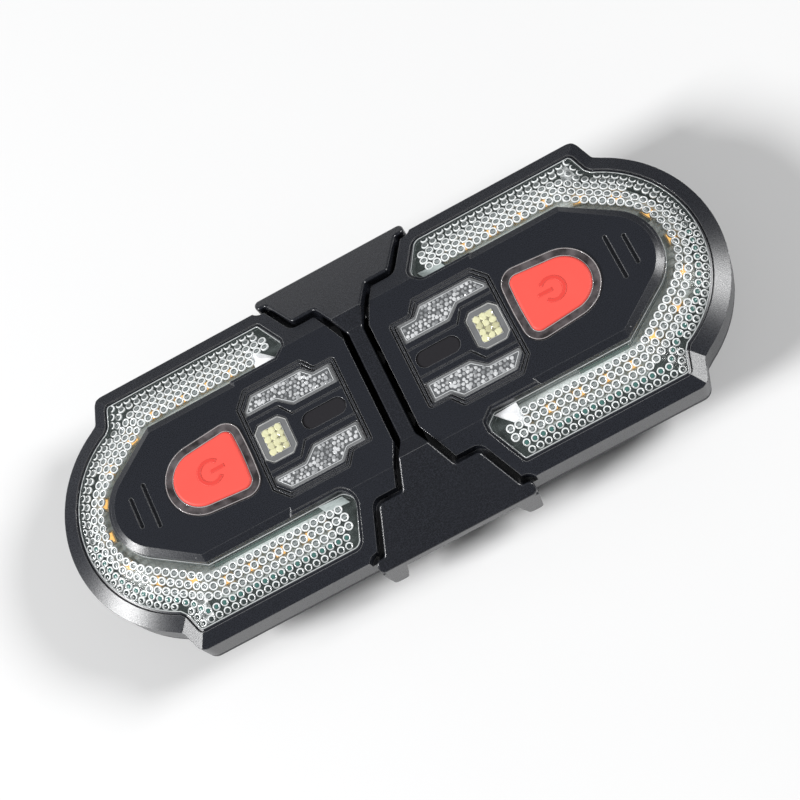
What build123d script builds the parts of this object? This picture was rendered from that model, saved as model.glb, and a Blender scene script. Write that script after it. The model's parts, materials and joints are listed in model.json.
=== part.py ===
from build123d import *
import os
from math import cos, pi, sin

# Bicycle turn signal light: two identical lamps held end to end in a saddle bracket.
# X runs along the light, Y across it and Z out of its face. Z is zero on the feet of the
# post mount. Every lamp piece is drawn for the right lamp, and the left one is the same
# piece after a half turn about Z. Lengths are in millimetres.

# Driving dimensions
post_radius = 15.9
post_pad_thickness = 1.5
mount_height = 12.0
neck_half_width = 1.95
face_gap = 1.7
lamp_wall_height = 9.85
roof_rise = 8.8
wall = 2.0
face_thickness = 2.0
cover_thickness = 1.8
slide_gap = 0.35
part_gap = 0.1
overrun = 1.0
corner_reach = 4.0
half_turn = 180

# Along a lamp: its window panel, then its button, then its round nose
lamp_end_x = neck_half_width + face_gap
panel_margin_x = 4.05
panel_length = 27.5
button_spacing = 3.5
button_length = 11.1
nose_spacing = 7.0
panel_left_x = lamp_end_x + panel_margin_x
panel_right_x = panel_left_x + panel_length
button_flat_x = panel_right_x + button_spacing
button_nose_x = button_flat_x + button_length
nose_centre_x = button_nose_x + nose_spacing

# Across a lamp: the panel on its island, the lens round that and the rim round the lens
panel_half_width = 15.6
island_margin = 3.9
lens_band_width = 12.6
rim_width = 4.5
nose_step = 3.4
plateau_margin = 1.1
island_half_width = panel_half_width + island_margin
lens_half_width = island_half_width + lens_band_width
lamp_half_width = lens_half_width + rim_width
nose_radius = lamp_half_width - nose_step
plateau_half_width = island_half_width + plateau_margin

# Levels, from the feet up
lamp_back_z = mount_height + slide_gap
seam_z = lamp_back_z + cover_thickness
plateau_z = lamp_back_z + lamp_wall_height + roof_rise
ceiling_z = plateau_z - face_thickness
roof_slope = roof_rise / (lamp_half_width - plateau_half_width)

# Lamp outline: its shoulder steps in to the round nose
shoulder_reach = 12.2
shoulder_radius = 3.0
notch_run = 2.3
notch_fall = 6.4
notch_radius = 1.5
nose_start_angle = 60
shoulder_x = nose_centre_x + shoulder_reach
notch_x = shoulder_x + notch_run
notch_y = lamp_half_width - notch_fall

# Signal lens: a sloped band round the island, sunk in a lip
lens_thickness = 1.6
lens_inner_drop = 3.3
lens_outer_drop = 6.8
lens_flat_width = 4.0
lens_nose_margin = 4.8
lens_shoulder_inset = 2.7
lens_notch_inset_x = 3.4
lens_notch_inset_y = 3.0
lens_start_angle = 64
lens_shoulder_radius = 1.2
lens_end_inner_x = 18.4
lens_end_run = 4.2
lens_end_height = 1.9
lens_point_run = 2.5
lens_point_radius = 0.5
lens_round_run = 2.0
lens_round_radius = 2.4
lens_lip_width = 0.9
lens_lip_depth = 0.5
well_wall = 1.6
lens_nose_radius = nose_radius - lens_nose_margin
lens_flat_half_width = island_half_width + lens_flat_width
lens_crest_inset = lamp_half_width - lens_flat_half_width
lens_shoulder_x = shoulder_x - lens_shoulder_inset
lens_notch_x = notch_x - lens_notch_inset_x
lens_notch_y = notch_y - lens_notch_inset_y
lens_end_outer_x = lens_end_inner_x + lens_end_run
lens_end_foot_y = lens_flat_half_width - lens_end_height
lens_point_x = lens_end_inner_x + lens_point_run
lens_round_x = lens_end_inner_x + lens_round_run

# Island inside the lens: it tapers to a small round nose
island_slope_width = 2.0
island_slope_drop = 1.2
island_slope_start_x = 33.0
island_taper_reach = 0.7
island_nose_reach = 5.4
island_nose_inset = 6.1
island_taper_x = nose_centre_x + island_taper_reach
island_nose_x = nose_centre_x + island_nose_reach
island_nose_radius = island_half_width - island_nose_inset

# Saddle bracket
band_thickness = 2.95
bracket_end_x = 21.4
wing_corner_x = 7.1
wing_corner_inset = 10.1
wing_ramp_width = 11.2
wing_shoulder_x = 13.6
wing_tip_x = 18.6
wing_tip_gap = 0.2
bracket_corner_radius = 1.4
crease_inset = 0.4
ridge_width = 4.2
crease_rise = 2.0
bracket_edge_drop = 10.3
bracket_band_height = 3.0
shelf_drop = 3.3
bracket_edge_radius = 0.5
tab_inner_x = 15.0
tab_outer_x = 21.2
tab_tip_inner_x = 16.9
tab_tip_outer_x = 20.5
tab_thickness = 2.0
tab_drop = 9.2
tab_lip_thickness = 1.8
tab_lip_reach = 2.3
tab_radius = 1.3
web_boss_radius = 2.9
web_boss_height = 11.0
web_boss_inner_y = 9.0
web_boss_outer_y = 21.0
bracket_half_width = lamp_half_width + slide_gap + band_thickness
wing_tip_y = lamp_half_width + wing_tip_gap
wing_corner_y = lamp_half_width - wing_corner_inset
neck_corner_y = wing_corner_y - wing_ramp_width
crease_half_width = plateau_half_width - crease_inset
ridge_half_width = crease_half_width - ridge_width

# Post mount
mount_half_length = 24.0
mount_half_width = 26.0
cradle_depth = 8.8
band_notch_height = 5.0
band_notch_depth = 4.4
band_ear_height = 3.0
mount_corner_radius = 2.0
mount_edge_chamfer = 0.6

# Circuit board: it runs this far out under the lens's slope
board_thickness = 1.2
board_drop = 7.0
board_reach = 4.5
board_neck_margin = 2.5
board_end_margin = 2.55
board_wide_margin = 0.4
board_half_width = lens_flat_half_width + board_reach
board_nose_radius = nose_radius - lens_crest_inset + board_reach
board_neck_half_width = island_half_width + board_neck_margin
board_end_x = lamp_end_x + board_end_margin
board_wide_x = lens_end_inner_x + board_wide_margin
board_top_z = plateau_z - board_drop
board_bottom_z = board_top_z - board_thickness

# Signal LEDs: a row on each arm and an arc round the nose
led_length = 3.5
led_width = 2.8
led_height = 0.7
led_row_start_x = 26.4
led_row_end_gap = 1.4
led_row_count = 5
led_row_reach = 0.5
led_arc_reach = 1.5
led_arc_step = 24
led_arc_count = 7
led_row_pitch = (nose_centre_x - led_row_end_gap - led_row_start_x) / (led_row_count - 1)
led_row_y = lens_flat_half_width + led_row_reach
led_arc_radius = nose_radius - lens_crest_inset + led_arc_reach

# Button, its ring and its switch
button_bulge = 0.4
button_half_height = 8.2
button_nose_radius = 7.2
button_corner_radius = 2.2
button_proud = 0.9
button_edge_radius = 0.7
button_skirt = 2.0
button_skirt_thickness = 1.0
button_gap = 0.15
button_travel = 0.6
ring_width = 2.1
ring_proud = 0.35
ring_flange = 1.2
ring_flange_thickness = 0.8
switch_inset = 1.8
switch_side = 6.2
switch_corner = 0.3
switch_height = 2.0
plunger_radius = 1.6
plunger_rise = 0.8
plunger_depth = 0.9
plunger_gap = 0.05
switch_x = button_nose_x - switch_inset

# Window panel, with grooves round it and between its cells
panel_neck_run = 5.4
panel_neck_inset = 3.4
panel_step_run = 2.5
panel_chamfer_run = 3.5
panel_chamfer_inset = 4.0
panel_radius = 1.0
cell_half_width = 3.9
groove_width = 0.45
groove_depth = 0.45
groove_spacing = 0.9
panel_neck_x = panel_left_x + panel_neck_run
panel_neck_half_width = panel_half_width - panel_neck_inset
panel_wide_x = panel_neck_x + panel_step_run
panel_chamfer_x = panel_right_x - panel_chamfer_run
panel_chamfer_y = panel_half_width - panel_chamfer_inset

# Side windows: each keeps its own margin from the panel's edge and from the cells' groove
window_recess = 0.35
window_flange = 0.7
window_flange_thickness = 0.8
window_floor_drop = 5.4
window_radius = 0.35
window_end_margin = 1.7
window_low_margin = 1.9
window_step_inset = 13.5
window_ramp_run = 3.5
window_ramp_fall = 1.3
window_right_margin = 1.5
window_tip_inset = 5.5
window_top_margin = 2.1
window_top_end_inset = 4.4
window_top_start_run = 0.8
window_shoulder_run = 0.9
window_shoulder_margin = 1.2
window_left_x = panel_left_x + window_end_margin
window_low_y = cell_half_width + window_low_margin
window_step_x = panel_right_x - window_step_inset
window_ramp_x = window_step_x + window_ramp_run
window_tip_y = panel_half_width - window_tip_inset
window_ramp_y = window_tip_y - window_ramp_fall
window_right_x = panel_right_x - window_right_margin
window_top_y = panel_half_width - window_top_margin
window_top_end_x = panel_right_x - window_top_end_inset
window_top_start_x = panel_wide_x + window_top_start_run
window_shoulder_x = panel_neck_x + window_shoulder_run
window_shoulder_y = panel_neck_half_width - window_shoulder_margin

# Cells between the side windows: one for the sensor window and one for the eight-sided window
cell_corner_run = 1.2
cell_ramp_run = 2.4
cell_ramp_fall = 1.5
sensor_margin = 2.4
sensor_shift = 1.05
sensor_width = 4.4
sensor_floor_drop = 3.0
light_window_inset = 5.95
light_window_length = 9.0
light_window_margin = 1.9
light_window_corner = 1.7
cell_corner_x = window_step_x + cell_corner_run
cell_wide_x = cell_corner_x + cell_ramp_run
cell_wide_half_width = window_ramp_y - cell_ramp_fall
sensor_length = window_step_x - panel_left_x - sensor_margin
sensor_x = (window_step_x + panel_left_x) / 2 + sensor_shift
light_window_x = panel_right_x - light_window_inset
light_window_width = 2 * (cell_wide_half_width - light_window_margin)

# White LED chips under the windows
chip_side = 2.0
chip_height = 0.7
chip_pitch = 2.6
chip_columns = 2
chip_rows = 3
side_chip_margin = 7.8
side_chip_pitch = 6.0
side_chip_count = 3
side_chip_inset = 0.6
side_chip_x = panel_left_x + side_chip_margin
side_chip_y = window_shoulder_y - side_chip_inset

# Ribs sunk in the island near the nose
rib_width = 1.1
rib_depth = 0.5
long_rib_reach = 7.2
long_rib_length = 12.5
short_rib_reach = 11.4
short_rib_length = 8.6
long_rib_x = nose_centre_x + long_rib_reach
short_rib_x = nose_centre_x + short_rib_reach

# Screws, bosses and board posts
screw_radius = 1.1
screw_length = 7.0
screw_head_radius = 2.0
screw_head_height = 0.9
screw_slot_width = 0.7
pilot_radius = 1.15
screw_hole_gap = 0.15
boss_radius = 2.6
boss_end_x = 15.0
boss_shoulder_reach = 1.2
post_radius_board = 2.1
post_end_x = 10.0
post_end_inset = 1.5
post_nose_reach = 5.7
post_nose_y = 11.0
board_screw_length = 5.0
boss_side_y = lamp_half_width - wall - boss_radius + 2 * part_gap
boss_shoulder_x = nose_centre_x + boss_shoulder_reach
boss_nose_x = nose_centre_x + nose_radius - wall - boss_radius + part_gap
boss_top_z = plateau_z - lens_outer_drop - lens_thickness - part_gap
post_end_y = island_half_width - post_end_inset
post_nose_x = nose_centre_x + post_nose_reach

# Chips under the board
controller_x = 20.0
controller_side = 7.0
controller_height = 1.0
radio_x = 40.0
radio_length = 16.0
radio_width = 12.0

# Back cover, its lip and its seal
cover_edge_chamfer = 0.4
lip_height = 1.8
lip_thickness = 1.2
seal_width = 0.8
seal_height = 0.7
seal_gap = 0.05

# Battery
battery_x = 34.0
battery_length = 48.0
battery_inset = 1.5
battery_thickness = 5.0
battery_pad_thickness = 0.5
battery_edge_radius = 1.5
battery_width = 2 * (island_half_width - battery_inset)

# Charging port and its plug
port_inset = 20.0
port_length = 9.0
port_width = 3.4
port_shell = 0.35
port_mouth_depth = 2.2
port_depth = 6.2
tongue_thickness = 0.7
tongue_length = 6.4
plug_length = 17.0
plug_width = 7.4
plug_thickness = 0.8
plug_gap = 0.2
plug_stem_height = 1.2
plug_reach = 8.4
plug_corner_radius = 1.5
plug_pull_radius = 1.6
port_x = nose_centre_x + nose_radius - port_inset
plug_hinge_x = port_x + plug_reach

nose_axis = Axis((nose_centre_x, 0, 0), (0, 0, -1))
nose_section = Plane(origin=(nose_centre_x, 0, 0), x_dir=(0, 1, 0), z_dir=(1, 0, 0))


def level(z):
    """Plan plane at this height."""
    return Plane.XY.offset(z)


def near(vertices, x, y):
    """Corners at this place on either side of the X axis."""
    return [v for v in vertices if abs(v.X - x) < part_gap and abs(abs(v.Y) - y) < part_gap]


# Outlines in plan

def stepped_outline(start_x, half_width, corner_x, low_x, low_y, radius, start_angle, corner_radius):
    """Straight sides, a shoulder on each side and a round nose."""
    turn = start_angle * pi / half_turn
    arc_start = (nose_centre_x + radius * cos(turn), radius * sin(turn))
    arc_middle = (nose_centre_x + radius * cos(turn / 2), radius * sin(turn / 2))
    with BuildSketch() as outline:
        with BuildLine():
            Polyline((start_x, 0), (start_x, half_width), (corner_x, half_width), (low_x, low_y), arc_start)
            ThreePointArc(arc_start, arc_middle, (nose_centre_x + radius, 0))
            mirror(about=Plane.XZ)
        make_face()
        fillet(near(outline.vertices(), corner_x, half_width), corner_radius)
        fillet(near(outline.vertices(), low_x, low_y), notch_radius)
    return outline.sketch


def lamp_outline(inset=0):
    """The lamp's plan, drawn in by the inset all round."""
    with BuildSketch() as outline:
        add(stepped_outline(
            lamp_end_x, lamp_half_width, shoulder_x, notch_x, notch_y,
            nose_radius, nose_start_angle, shoulder_radius,
        ))
        if inset > 0:
            offset(amount=-inset, kind=Kind.INTERSECTION)
    return outline.sketch


def island_outline(inset=0):
    """The raised island's plan: straight sides that taper to a small round nose."""
    length = island_taper_x - lamp_end_x
    with BuildSketch() as outline:
        with Locations((lamp_end_x + length / 2, 0)):
            Rectangle(length, 2 * (island_half_width - inset))
        with Locations((island_nose_x, 0)):
            Circle(island_nose_radius - inset)
        make_hull()
    return outline.sketch


def lens_outline(grow=0):
    """The U-shaped lens's plan: one arm ends in sharp corners and the other in round ones."""
    with BuildSketch() as outline:
        add(stepped_outline(
            lamp_end_x, lens_half_width, lens_shoulder_x, lens_notch_x, lens_notch_y,
            lens_nose_radius, lens_start_angle, lens_shoulder_radius,
        ))
        add(island_outline(), mode=Mode.SUBTRACT)
        lens_ends = ((-1, lens_point_x, lens_point_radius), (1, lens_round_x, lens_round_radius))
        for side, foot_x, radius in lens_ends:
            corners = [
                (foot_x, side * island_half_width),
                (lens_end_inner_x, side * lens_end_foot_y),
                (lens_end_inner_x, side * lens_flat_half_width),
                (lens_end_outer_x, side * lens_half_width),
            ]
            far_side = (0, side * lens_half_width)
            Polygon((0, 0), (foot_x, 0), *corners, far_side, align=None, mode=Mode.SUBTRACT)
            rounded = [v for x, y in corners for v in near(outline.vertices(), x, abs(y)) if v.Y * side > 0]
            fillet(rounded, radius)
        if grow > 0:
            offset(amount=grow, kind=Kind.INTERSECTION)
    return outline.sketch


def bracket_outline(grow=0):
    """The bracket's plan: a narrow neck that opens into a wing on each side."""
    with BuildSketch() as outline:
        with BuildLine():
            Polyline(
                (neck_half_width, 0),
                (neck_half_width, neck_corner_y),
                (wing_corner_x, wing_corner_y),
                (wing_shoulder_x, wing_corner_y),
                (wing_tip_x, wing_tip_y),
                (bracket_end_x, wing_tip_y),
                (bracket_end_x, bracket_half_width),
                (0, bracket_half_width),
            )
            mirror(about=Plane.YZ)
            mirror(about=Plane.XZ)
        make_face()
        rounded = [v for v in outline.vertices() if abs(v.X) > part_gap and abs(v.Y) > part_gap]
        fillet(rounded, bracket_corner_radius)
        if grow > 0:
            offset(amount=grow)
    return outline.sketch


def board_outline(grow=0):
    """The circuit board's plan: narrow at the lamp's end, then as wide as the lens allows."""
    neck_length = nose_centre_x - board_end_x
    wide_length = nose_centre_x - board_wide_x
    with BuildSketch() as outline:
        with Locations((board_wide_x + wide_length / 2, 0)):
            Rectangle(wide_length, 2 * board_half_width)
        with Locations((nose_centre_x, 0)):
            Circle(board_nose_radius)
        make_hull()
        with Locations((board_end_x + neck_length / 2, 0)):
            Rectangle(neck_length, 2 * board_neck_half_width)
        if grow > 0:
            offset(amount=grow, kind=Kind.INTERSECTION)
    return outline.sketch


def button_outline(grow=0):
    """The button's plan: a slightly bowed flat side and a round nose."""
    with BuildSketch() as outline:
        with BuildLine():
            ThreePointArc(
                (button_flat_x, -button_half_height),
                (button_flat_x - button_bulge, 0),
                (button_flat_x, button_half_height),
            )
            Polyline(
                (button_flat_x, button_half_height),
                (button_nose_x, 0),
                (button_flat_x, -button_half_height),
            )
        make_face()
        with Locations((button_nose_x, 0)):
            Circle(button_nose_radius)
        make_hull()
        fillet(near(outline.vertices(), button_flat_x, button_half_height), button_corner_radius)
        if grow > 0:
            offset(amount=grow)
    return outline.sketch


def panel_outline(inset=0):
    """The window panel's plan, drawn in by the inset all round."""
    with BuildSketch() as outline:
        with BuildLine():
            Polyline(
                (panel_left_x, 0),
                (panel_left_x, panel_neck_half_width),
                (panel_neck_x, panel_neck_half_width),
                (panel_wide_x, panel_half_width),
                (panel_chamfer_x, panel_half_width),
                (panel_right_x, panel_chamfer_y),
                (panel_right_x, 0),
            )
            mirror(about=Plane.XZ)
        make_face()
        fillet([v for v in outline.vertices() if abs(v.Y) > part_gap], panel_radius)
        if inset > 0:
            offset(amount=-inset)
    return outline.sketch


def side_window_outline(side, grow=0):
    """Plan of one side window: a long strip with a stepped inner edge."""
    with BuildSketch() as outline:
        Polygon(
            (window_left_x, side * window_low_y),
            (window_step_x, side * window_low_y),
            (window_ramp_x, side * window_ramp_y),
            (window_right_x, side * window_ramp_y),
            (window_right_x, side * window_tip_y),
            (window_top_end_x, side * window_top_y),
            (window_top_start_x, side * window_top_y),
            (window_shoulder_x, side * window_shoulder_y),
            (window_left_x, side * window_shoulder_y),
            align=None,
        )
        fillet(outline.vertices(), window_radius)
        if grow > 0:
            offset(amount=grow)
    return outline.sketch


def light_window_outline(grow=0):
    """Plan of the small eight-sided window."""
    with BuildSketch() as outline:
        with Locations((light_window_x, 0)):
            Rectangle(light_window_length, light_window_width)
        chamfer(outline.vertices(), light_window_corner)
        if grow > 0:
            offset(amount=grow)
    return outline.sketch


def sensor_window_outline(grow=0):
    """Plan of the round-ended sensor window."""
    with BuildSketch() as outline:
        with Locations((sensor_x, 0)):
            SlotOverall(sensor_length + 2 * grow, sensor_width + 2 * grow)
    return outline.sketch


def port_outline(grow=0):
    """Plan of the charging port."""
    with BuildSketch() as outline:
        with Locations((port_x, 0)):
            SlotOverall(port_length + 2 * grow, port_width + 2 * grow)
    return outline.sketch


# Forms whose roof slopes down to the lamp's outline

def slope_waste(plane, crest_inset, top_z, slope, length, mode):
    """Cuts a sloped roof whose rim lies over the plane's upright axis."""
    with BuildSketch(plane) as profile:
        Polygon(
            (-crest_inset, top_z),
            (nose_radius, top_z - slope * (crest_inset + nose_radius)),
            (nose_radius, top_z + overrun),
            (-crest_inset, top_z + overrun),
            align=None,
        )
    extrude(profile.sketch, amount=length, both=True, mode=mode)


def roof_form(floor_z, top_z, crest_inset, slope):
    """Block with a level crest, drawn in from the lamp's outline, and a slope down from it."""
    side_rim = Plane(origin=(0, lamp_half_width, 0), x_dir=(0, 1, 0), z_dir=(1, 0, 0))
    run = notch_x - shoulder_x
    fall = lamp_half_width - notch_y
    flank_rim = Plane(origin=(shoulder_x, lamp_half_width, 0), x_dir=(fall, run, 0), z_dir=(run, -fall, 0))
    reach = nose_radius + corner_reach
    with BuildPart() as sides:
        with BuildSketch(level(floor_z)):
            with Locations(((nose_centre_x + reach + lamp_end_x) / 2, 0)):
                Rectangle(nose_centre_x + reach - lamp_end_x, 2 * (lamp_half_width + corner_reach))
        extrude(amount=top_z - floor_z)
        slope_waste(side_rim, crest_inset, top_z, slope, nose_centre_x + reach, Mode.SUBTRACT)
        slope_waste(flank_rim, crest_inset, top_z, slope, nose_centre_x + reach, Mode.SUBTRACT)
    with BuildPart() as both_sides:
        add(sides.part)
        mirror(sides.part, about=Plane.XZ, mode=Mode.INTERSECT)
    crest_radius = nose_radius - crest_inset
    with BuildPart() as nose:
        with BuildSketch(nose_section):
            Polygon(
                (0, floor_z),
                (reach, floor_z),
                (reach, top_z - slope * (reach - crest_radius)),
                (crest_radius, top_z),
                (0, top_z),
                align=None,
            )
        revolve(axis=nose_axis)
    with BuildPart() as form:
        add(both_sides.part)
        add(nose.part)
    return form.part


def lamp_block(floor_z, inset=0, drop=0):
    """The lamp's outer form, drawn in by the inset and with its roof lowered by the drop."""
    with BuildPart() as block:
        with BuildSketch(level(floor_z)):
            add(lamp_outline(inset))
        extrude(amount=plateau_z - floor_z)
        crest_inset = lamp_half_width - plateau_half_width
        add(roof_form(floor_z - overrun, plateau_z - drop, crest_inset, roof_slope), mode=Mode.INTERSECT)
    return block.part


def prism(outline, low_z, high_z):
    """A plan outline raised between two heights."""
    with BuildPart() as solid:
        with BuildSketch(level(low_z)):
            add(outline)
        extrude(amount=high_z - low_z)
    return solid.part


def boss_places():
    """Centres of the cover's screw bosses."""
    sides = [(x, side * boss_side_y) for x in (boss_end_x, boss_shoulder_x) for side in (-1, 1)]
    return sides + [(boss_nose_x, 0)]


def post_places():
    """Centres of the posts that carry the circuit board."""
    corners = ((post_end_x, post_end_y), (post_nose_x, post_nose_y))
    return [(x, side * y) for x, y in corners for side in (-1, 1)]


def web_boss_places():
    """Centres of the bosses in the bracket's web, which are also the mount screws' places."""
    return [(0, side * y) for y in (web_boss_inner_y, web_boss_outer_y) for side in (-1, 1)]


def screw(head_z, length):
    """Self-tapping screw that points up, with its head's outer face at this height."""
    with BuildPart() as body:
        with BuildSketch(level(head_z)):
            Circle(screw_head_radius)
        extrude(amount=screw_head_height)
        with BuildSketch(level(head_z)):
            Circle(screw_radius)
        extrude(amount=length)
        with BuildSketch(level(head_z)):
            Rectangle(2 * screw_head_radius, screw_slot_width)
            Rectangle(screw_slot_width, 2 * screw_head_radius)
            Circle(screw_head_radius - screw_slot_width, mode=Mode.INTERSECT)
        extrude(amount=screw_head_height / 2, mode=Mode.SUBTRACT)
    return body.part


def island_slope_waste():
    """What the sloped edge takes off the island, from its start round the nose."""
    slope_foot = level(plateau_z - island_slope_drop)
    length = island_nose_x + island_nose_radius - island_slope_start_x + overrun
    with BuildPart() as sloped:
        with BuildSketch(slope_foot):
            add(island_outline())
        with BuildSketch(level(plateau_z)):
            add(island_outline(island_slope_width))
        loft()
    with BuildPart() as waste:
        with BuildSketch(slope_foot):
            with Locations((island_slope_start_x + length / 2, 0)):
                Rectangle(length, 2 * island_half_width + overrun)
        extrude(amount=island_slope_drop + overrun)
        chamfer(waste.edges().filter_by(Axis.Y).group_by(Axis.X)[0].sort_by(Axis.Z)[0], island_slope_drop)
        add(sloped.part, mode=Mode.SUBTRACT)
        with BuildSketch(level(plateau_z - overrun)):
            add(island_outline(island_slope_width))
        extrude(amount=2 * overrun + island_slope_drop, mode=Mode.SUBTRACT)
    return waste.part


def cell_grooves():
    """Centre lines of the grooves between the panel's windows, as thin strips in plan."""
    with BuildSketch() as outline:
        for side in (-1, 1):
            with BuildLine():
                Polyline(
                    (panel_left_x + groove_spacing, side * cell_half_width),
                    (cell_corner_x, side * cell_half_width),
                    (cell_wide_x, side * cell_wide_half_width),
                    (panel_right_x - groove_spacing, side * cell_wide_half_width),
                )
                offset(amount=groove_width / 2)
            make_face()
    return outline.sketch


# Pieces of one lamp, under the name that follows right_ or left_
lamp_pieces = {}

# Face shell: side walls, sloped roof, island and the well that holds the lens
under_wing = prism(bracket_outline(face_gap), seam_z, plateau_z + overrun)
under_wing_core = prism(bracket_outline(face_gap + wall), seam_z - overrun, plateau_z + overrun)
shelf_form = lamp_block(seam_z, drop=shelf_drop)
shelf_core = lamp_block(seam_z - overrun, inset=wall, drop=shelf_drop + face_thickness)
outer_form = lamp_block(seam_z)
inner_form = lamp_block(seam_z - overrun, inset=wall, drop=face_thickness)

with BuildPart() as shelf_waste:
    add(under_wing)
    add(shelf_form, mode=Mode.SUBTRACT)

with BuildPart() as lip_waste:
    add(prism(lens_outline(lens_lip_width), seam_z, plateau_z + overrun))
    add(lamp_block(seam_z, drop=lens_lip_depth), mode=Mode.SUBTRACT)

with BuildPart() as shelf_core_waste:
    add(under_wing_core)
    add(shelf_core, mode=Mode.SUBTRACT)

with BuildPart() as shell_core:
    add(inner_form)
    add(shelf_core_waste.part, mode=Mode.SUBTRACT)

well_low_z = board_top_z + slide_gap
well_floor_z = plateau_z - lens_outer_drop - lens_thickness - lens_thickness / 2
with BuildSketch() as outer_well_outline:
    add(lens_outline(well_wall))
    add(board_outline(slide_gap), mode=Mode.SUBTRACT)

with BuildPart() as lens_well:
    with BuildSketch(level(well_low_z)):
        add(lens_outline(well_wall))
    extrude(amount=plateau_z - well_low_z)
    with BuildSketch(level(well_floor_z)):
        add(outer_well_outline.sketch)
    extrude(amount=well_low_z - well_floor_z)
    add(outer_form, mode=Mode.INTERSECT)

with BuildPart() as shell:
    add(outer_form)
    add(shell_core.part, mode=Mode.SUBTRACT)
    add(lens_well.part)
    with BuildSketch(level(seam_z)):
        with Locations(*boss_places()):
            Circle(boss_radius)
    extrude(amount=boss_top_z - seam_z)
    with BuildSketch(level(board_top_z)):
        with Locations(*post_places()):
            Circle(post_radius_board)
    extrude(amount=ceiling_z - board_top_z + part_gap)
    add(shelf_waste.part, mode=Mode.SUBTRACT)
    add(lip_waste.part, mode=Mode.SUBTRACT)
    with BuildSketch(level(seam_z - overrun)):
        add(lens_outline(part_gap))
    extrude(amount=plateau_z - seam_z + 2 * overrun, mode=Mode.SUBTRACT)
    with BuildSketch(level(ceiling_z - overrun)):
        add(button_outline(button_gap + ring_width + part_gap))
        add(side_window_outline(-1, part_gap))
        add(side_window_outline(1, part_gap))
        add(light_window_outline(part_gap))
        add(sensor_window_outline(part_gap))
    extrude(amount=face_thickness + 2 * overrun, mode=Mode.SUBTRACT)
    with BuildSketch(level(seam_z)):
        with Locations(*boss_places()):
            Circle(pilot_radius)
    extrude(amount=screw_length - cover_thickness + screw_hole_gap, mode=Mode.SUBTRACT)
    with BuildSketch(level(board_top_z)):
        with Locations(*post_places()):
            Circle(pilot_radius)
    extrude(amount=board_screw_length - screw_head_height, mode=Mode.SUBTRACT)
    with BuildSketch(level(seam_z)):
        add(lamp_outline((wall - seal_width) / 2 - seal_gap))
        add(lamp_outline((wall + seal_width) / 2 + seal_gap), mode=Mode.SUBTRACT)
    extrude(amount=seal_height + seal_gap, mode=Mode.SUBTRACT)
    with BuildSketch(level(plateau_z - groove_depth)):
        add(panel_outline())
        add(panel_outline(groove_width), mode=Mode.SUBTRACT)
        add(panel_outline(groove_spacing))
        add(panel_outline(groove_spacing + groove_width), mode=Mode.SUBTRACT)
        add(cell_grooves())
    extrude(amount=groove_depth + overrun, mode=Mode.SUBTRACT)
    add(island_slope_waste(), mode=Mode.SUBTRACT)
    with BuildSketch(level(plateau_z - rib_depth)):
        with Locations((long_rib_x, 0)):
            SlotOverall(long_rib_length, rib_width, rotation=half_turn / 2)
        with Locations((short_rib_x, 0)):
            SlotOverall(short_rib_length, rib_width, rotation=half_turn / 2)
    extrude(amount=rib_depth + overrun, mode=Mode.SUBTRACT)
lamp_pieces["shell"] = shell.part

# Signal lens: a clear band, flat beside the island and sloped to the rim
lens_top_z = plateau_z - lens_inner_drop
lens_slope = (lens_outer_drop - lens_inner_drop) / (lens_half_width - lens_flat_half_width)

with BuildPart() as signal_lens:
    with BuildSketch(level(seam_z)):
        add(lens_outline())
    extrude(amount=plateau_z - seam_z)
    lens_upper_form = roof_form(lamp_back_z, lens_top_z, lens_crest_inset, lens_slope)
    lens_under_form = roof_form(lamp_back_z, lens_top_z - lens_thickness, lens_crest_inset, lens_slope)
    add(lens_upper_form, mode=Mode.INTERSECT)
    add(lens_under_form, mode=Mode.SUBTRACT)
lamp_pieces["signal_lens"] = signal_lens.part

# Button, the clear ring round it and the switch under it
switch_top_z = board_top_z + switch_height
plunger_top_z = switch_top_z + plunger_rise
skirt_top_z = ceiling_z - ring_flange_thickness - button_gap
skirt_low_z = skirt_top_z - button_skirt_thickness

with BuildPart() as button_ring:
    with BuildSketch(level(ceiling_z)):
        add(button_outline(button_gap + ring_width))
    extrude(amount=face_thickness + ring_proud)
    fillet(button_ring.edges().group_by(Axis.Z)[-1], ring_proud)
    with BuildSketch(level(ceiling_z - ring_flange_thickness)):
        add(button_outline(button_gap + ring_width + ring_flange))
    extrude(amount=ring_flange_thickness)
    with BuildSketch(level(ceiling_z - ring_flange_thickness)):
        add(button_outline(button_gap))
    extrude(amount=face_thickness + ring_flange_thickness + ring_proud, mode=Mode.SUBTRACT)
lamp_pieces["button_ring"] = button_ring.part

with BuildPart() as button:
    with BuildSketch(level(skirt_low_z)):
        add(button_outline())
    extrude(amount=plateau_z + button_proud - skirt_low_z)
    fillet(button.edges().group_by(Axis.Z)[-1], button_edge_radius)
    with BuildSketch(level(skirt_low_z)):
        add(button_outline(button_skirt))
    extrude(amount=button_skirt_thickness)
    with BuildSketch(level(plunger_top_z)):
        with Locations((switch_x, 0)):
            Circle(plunger_radius)
    extrude(amount=skirt_low_z - plunger_top_z)
lamp_pieces["button"] = button.part

with BuildPart() as switch_body:
    with BuildSketch(level(board_top_z)):
        with Locations((switch_x, 0)):
            Rectangle(switch_side, switch_side)
    extrude(amount=switch_height)
    chamfer(switch_body.edges().filter_by(Axis.Z), switch_corner)
    with BuildSketch(level(switch_top_z - plunger_depth - button_travel - part_gap)):
        with Locations((switch_x, 0)):
            Circle(plunger_radius + plunger_gap)
    extrude(amount=switch_height, mode=Mode.SUBTRACT)
lamp_pieces["switch_body"] = switch_body.part

with BuildPart() as switch_plunger:
    with BuildSketch(level(switch_top_z - plunger_depth)):
        with Locations((switch_x, 0)):
            Circle(plunger_radius)
    extrude(amount=plunger_depth + plunger_rise)
lamp_pieces["switch_plunger"] = switch_plunger.part

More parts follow.
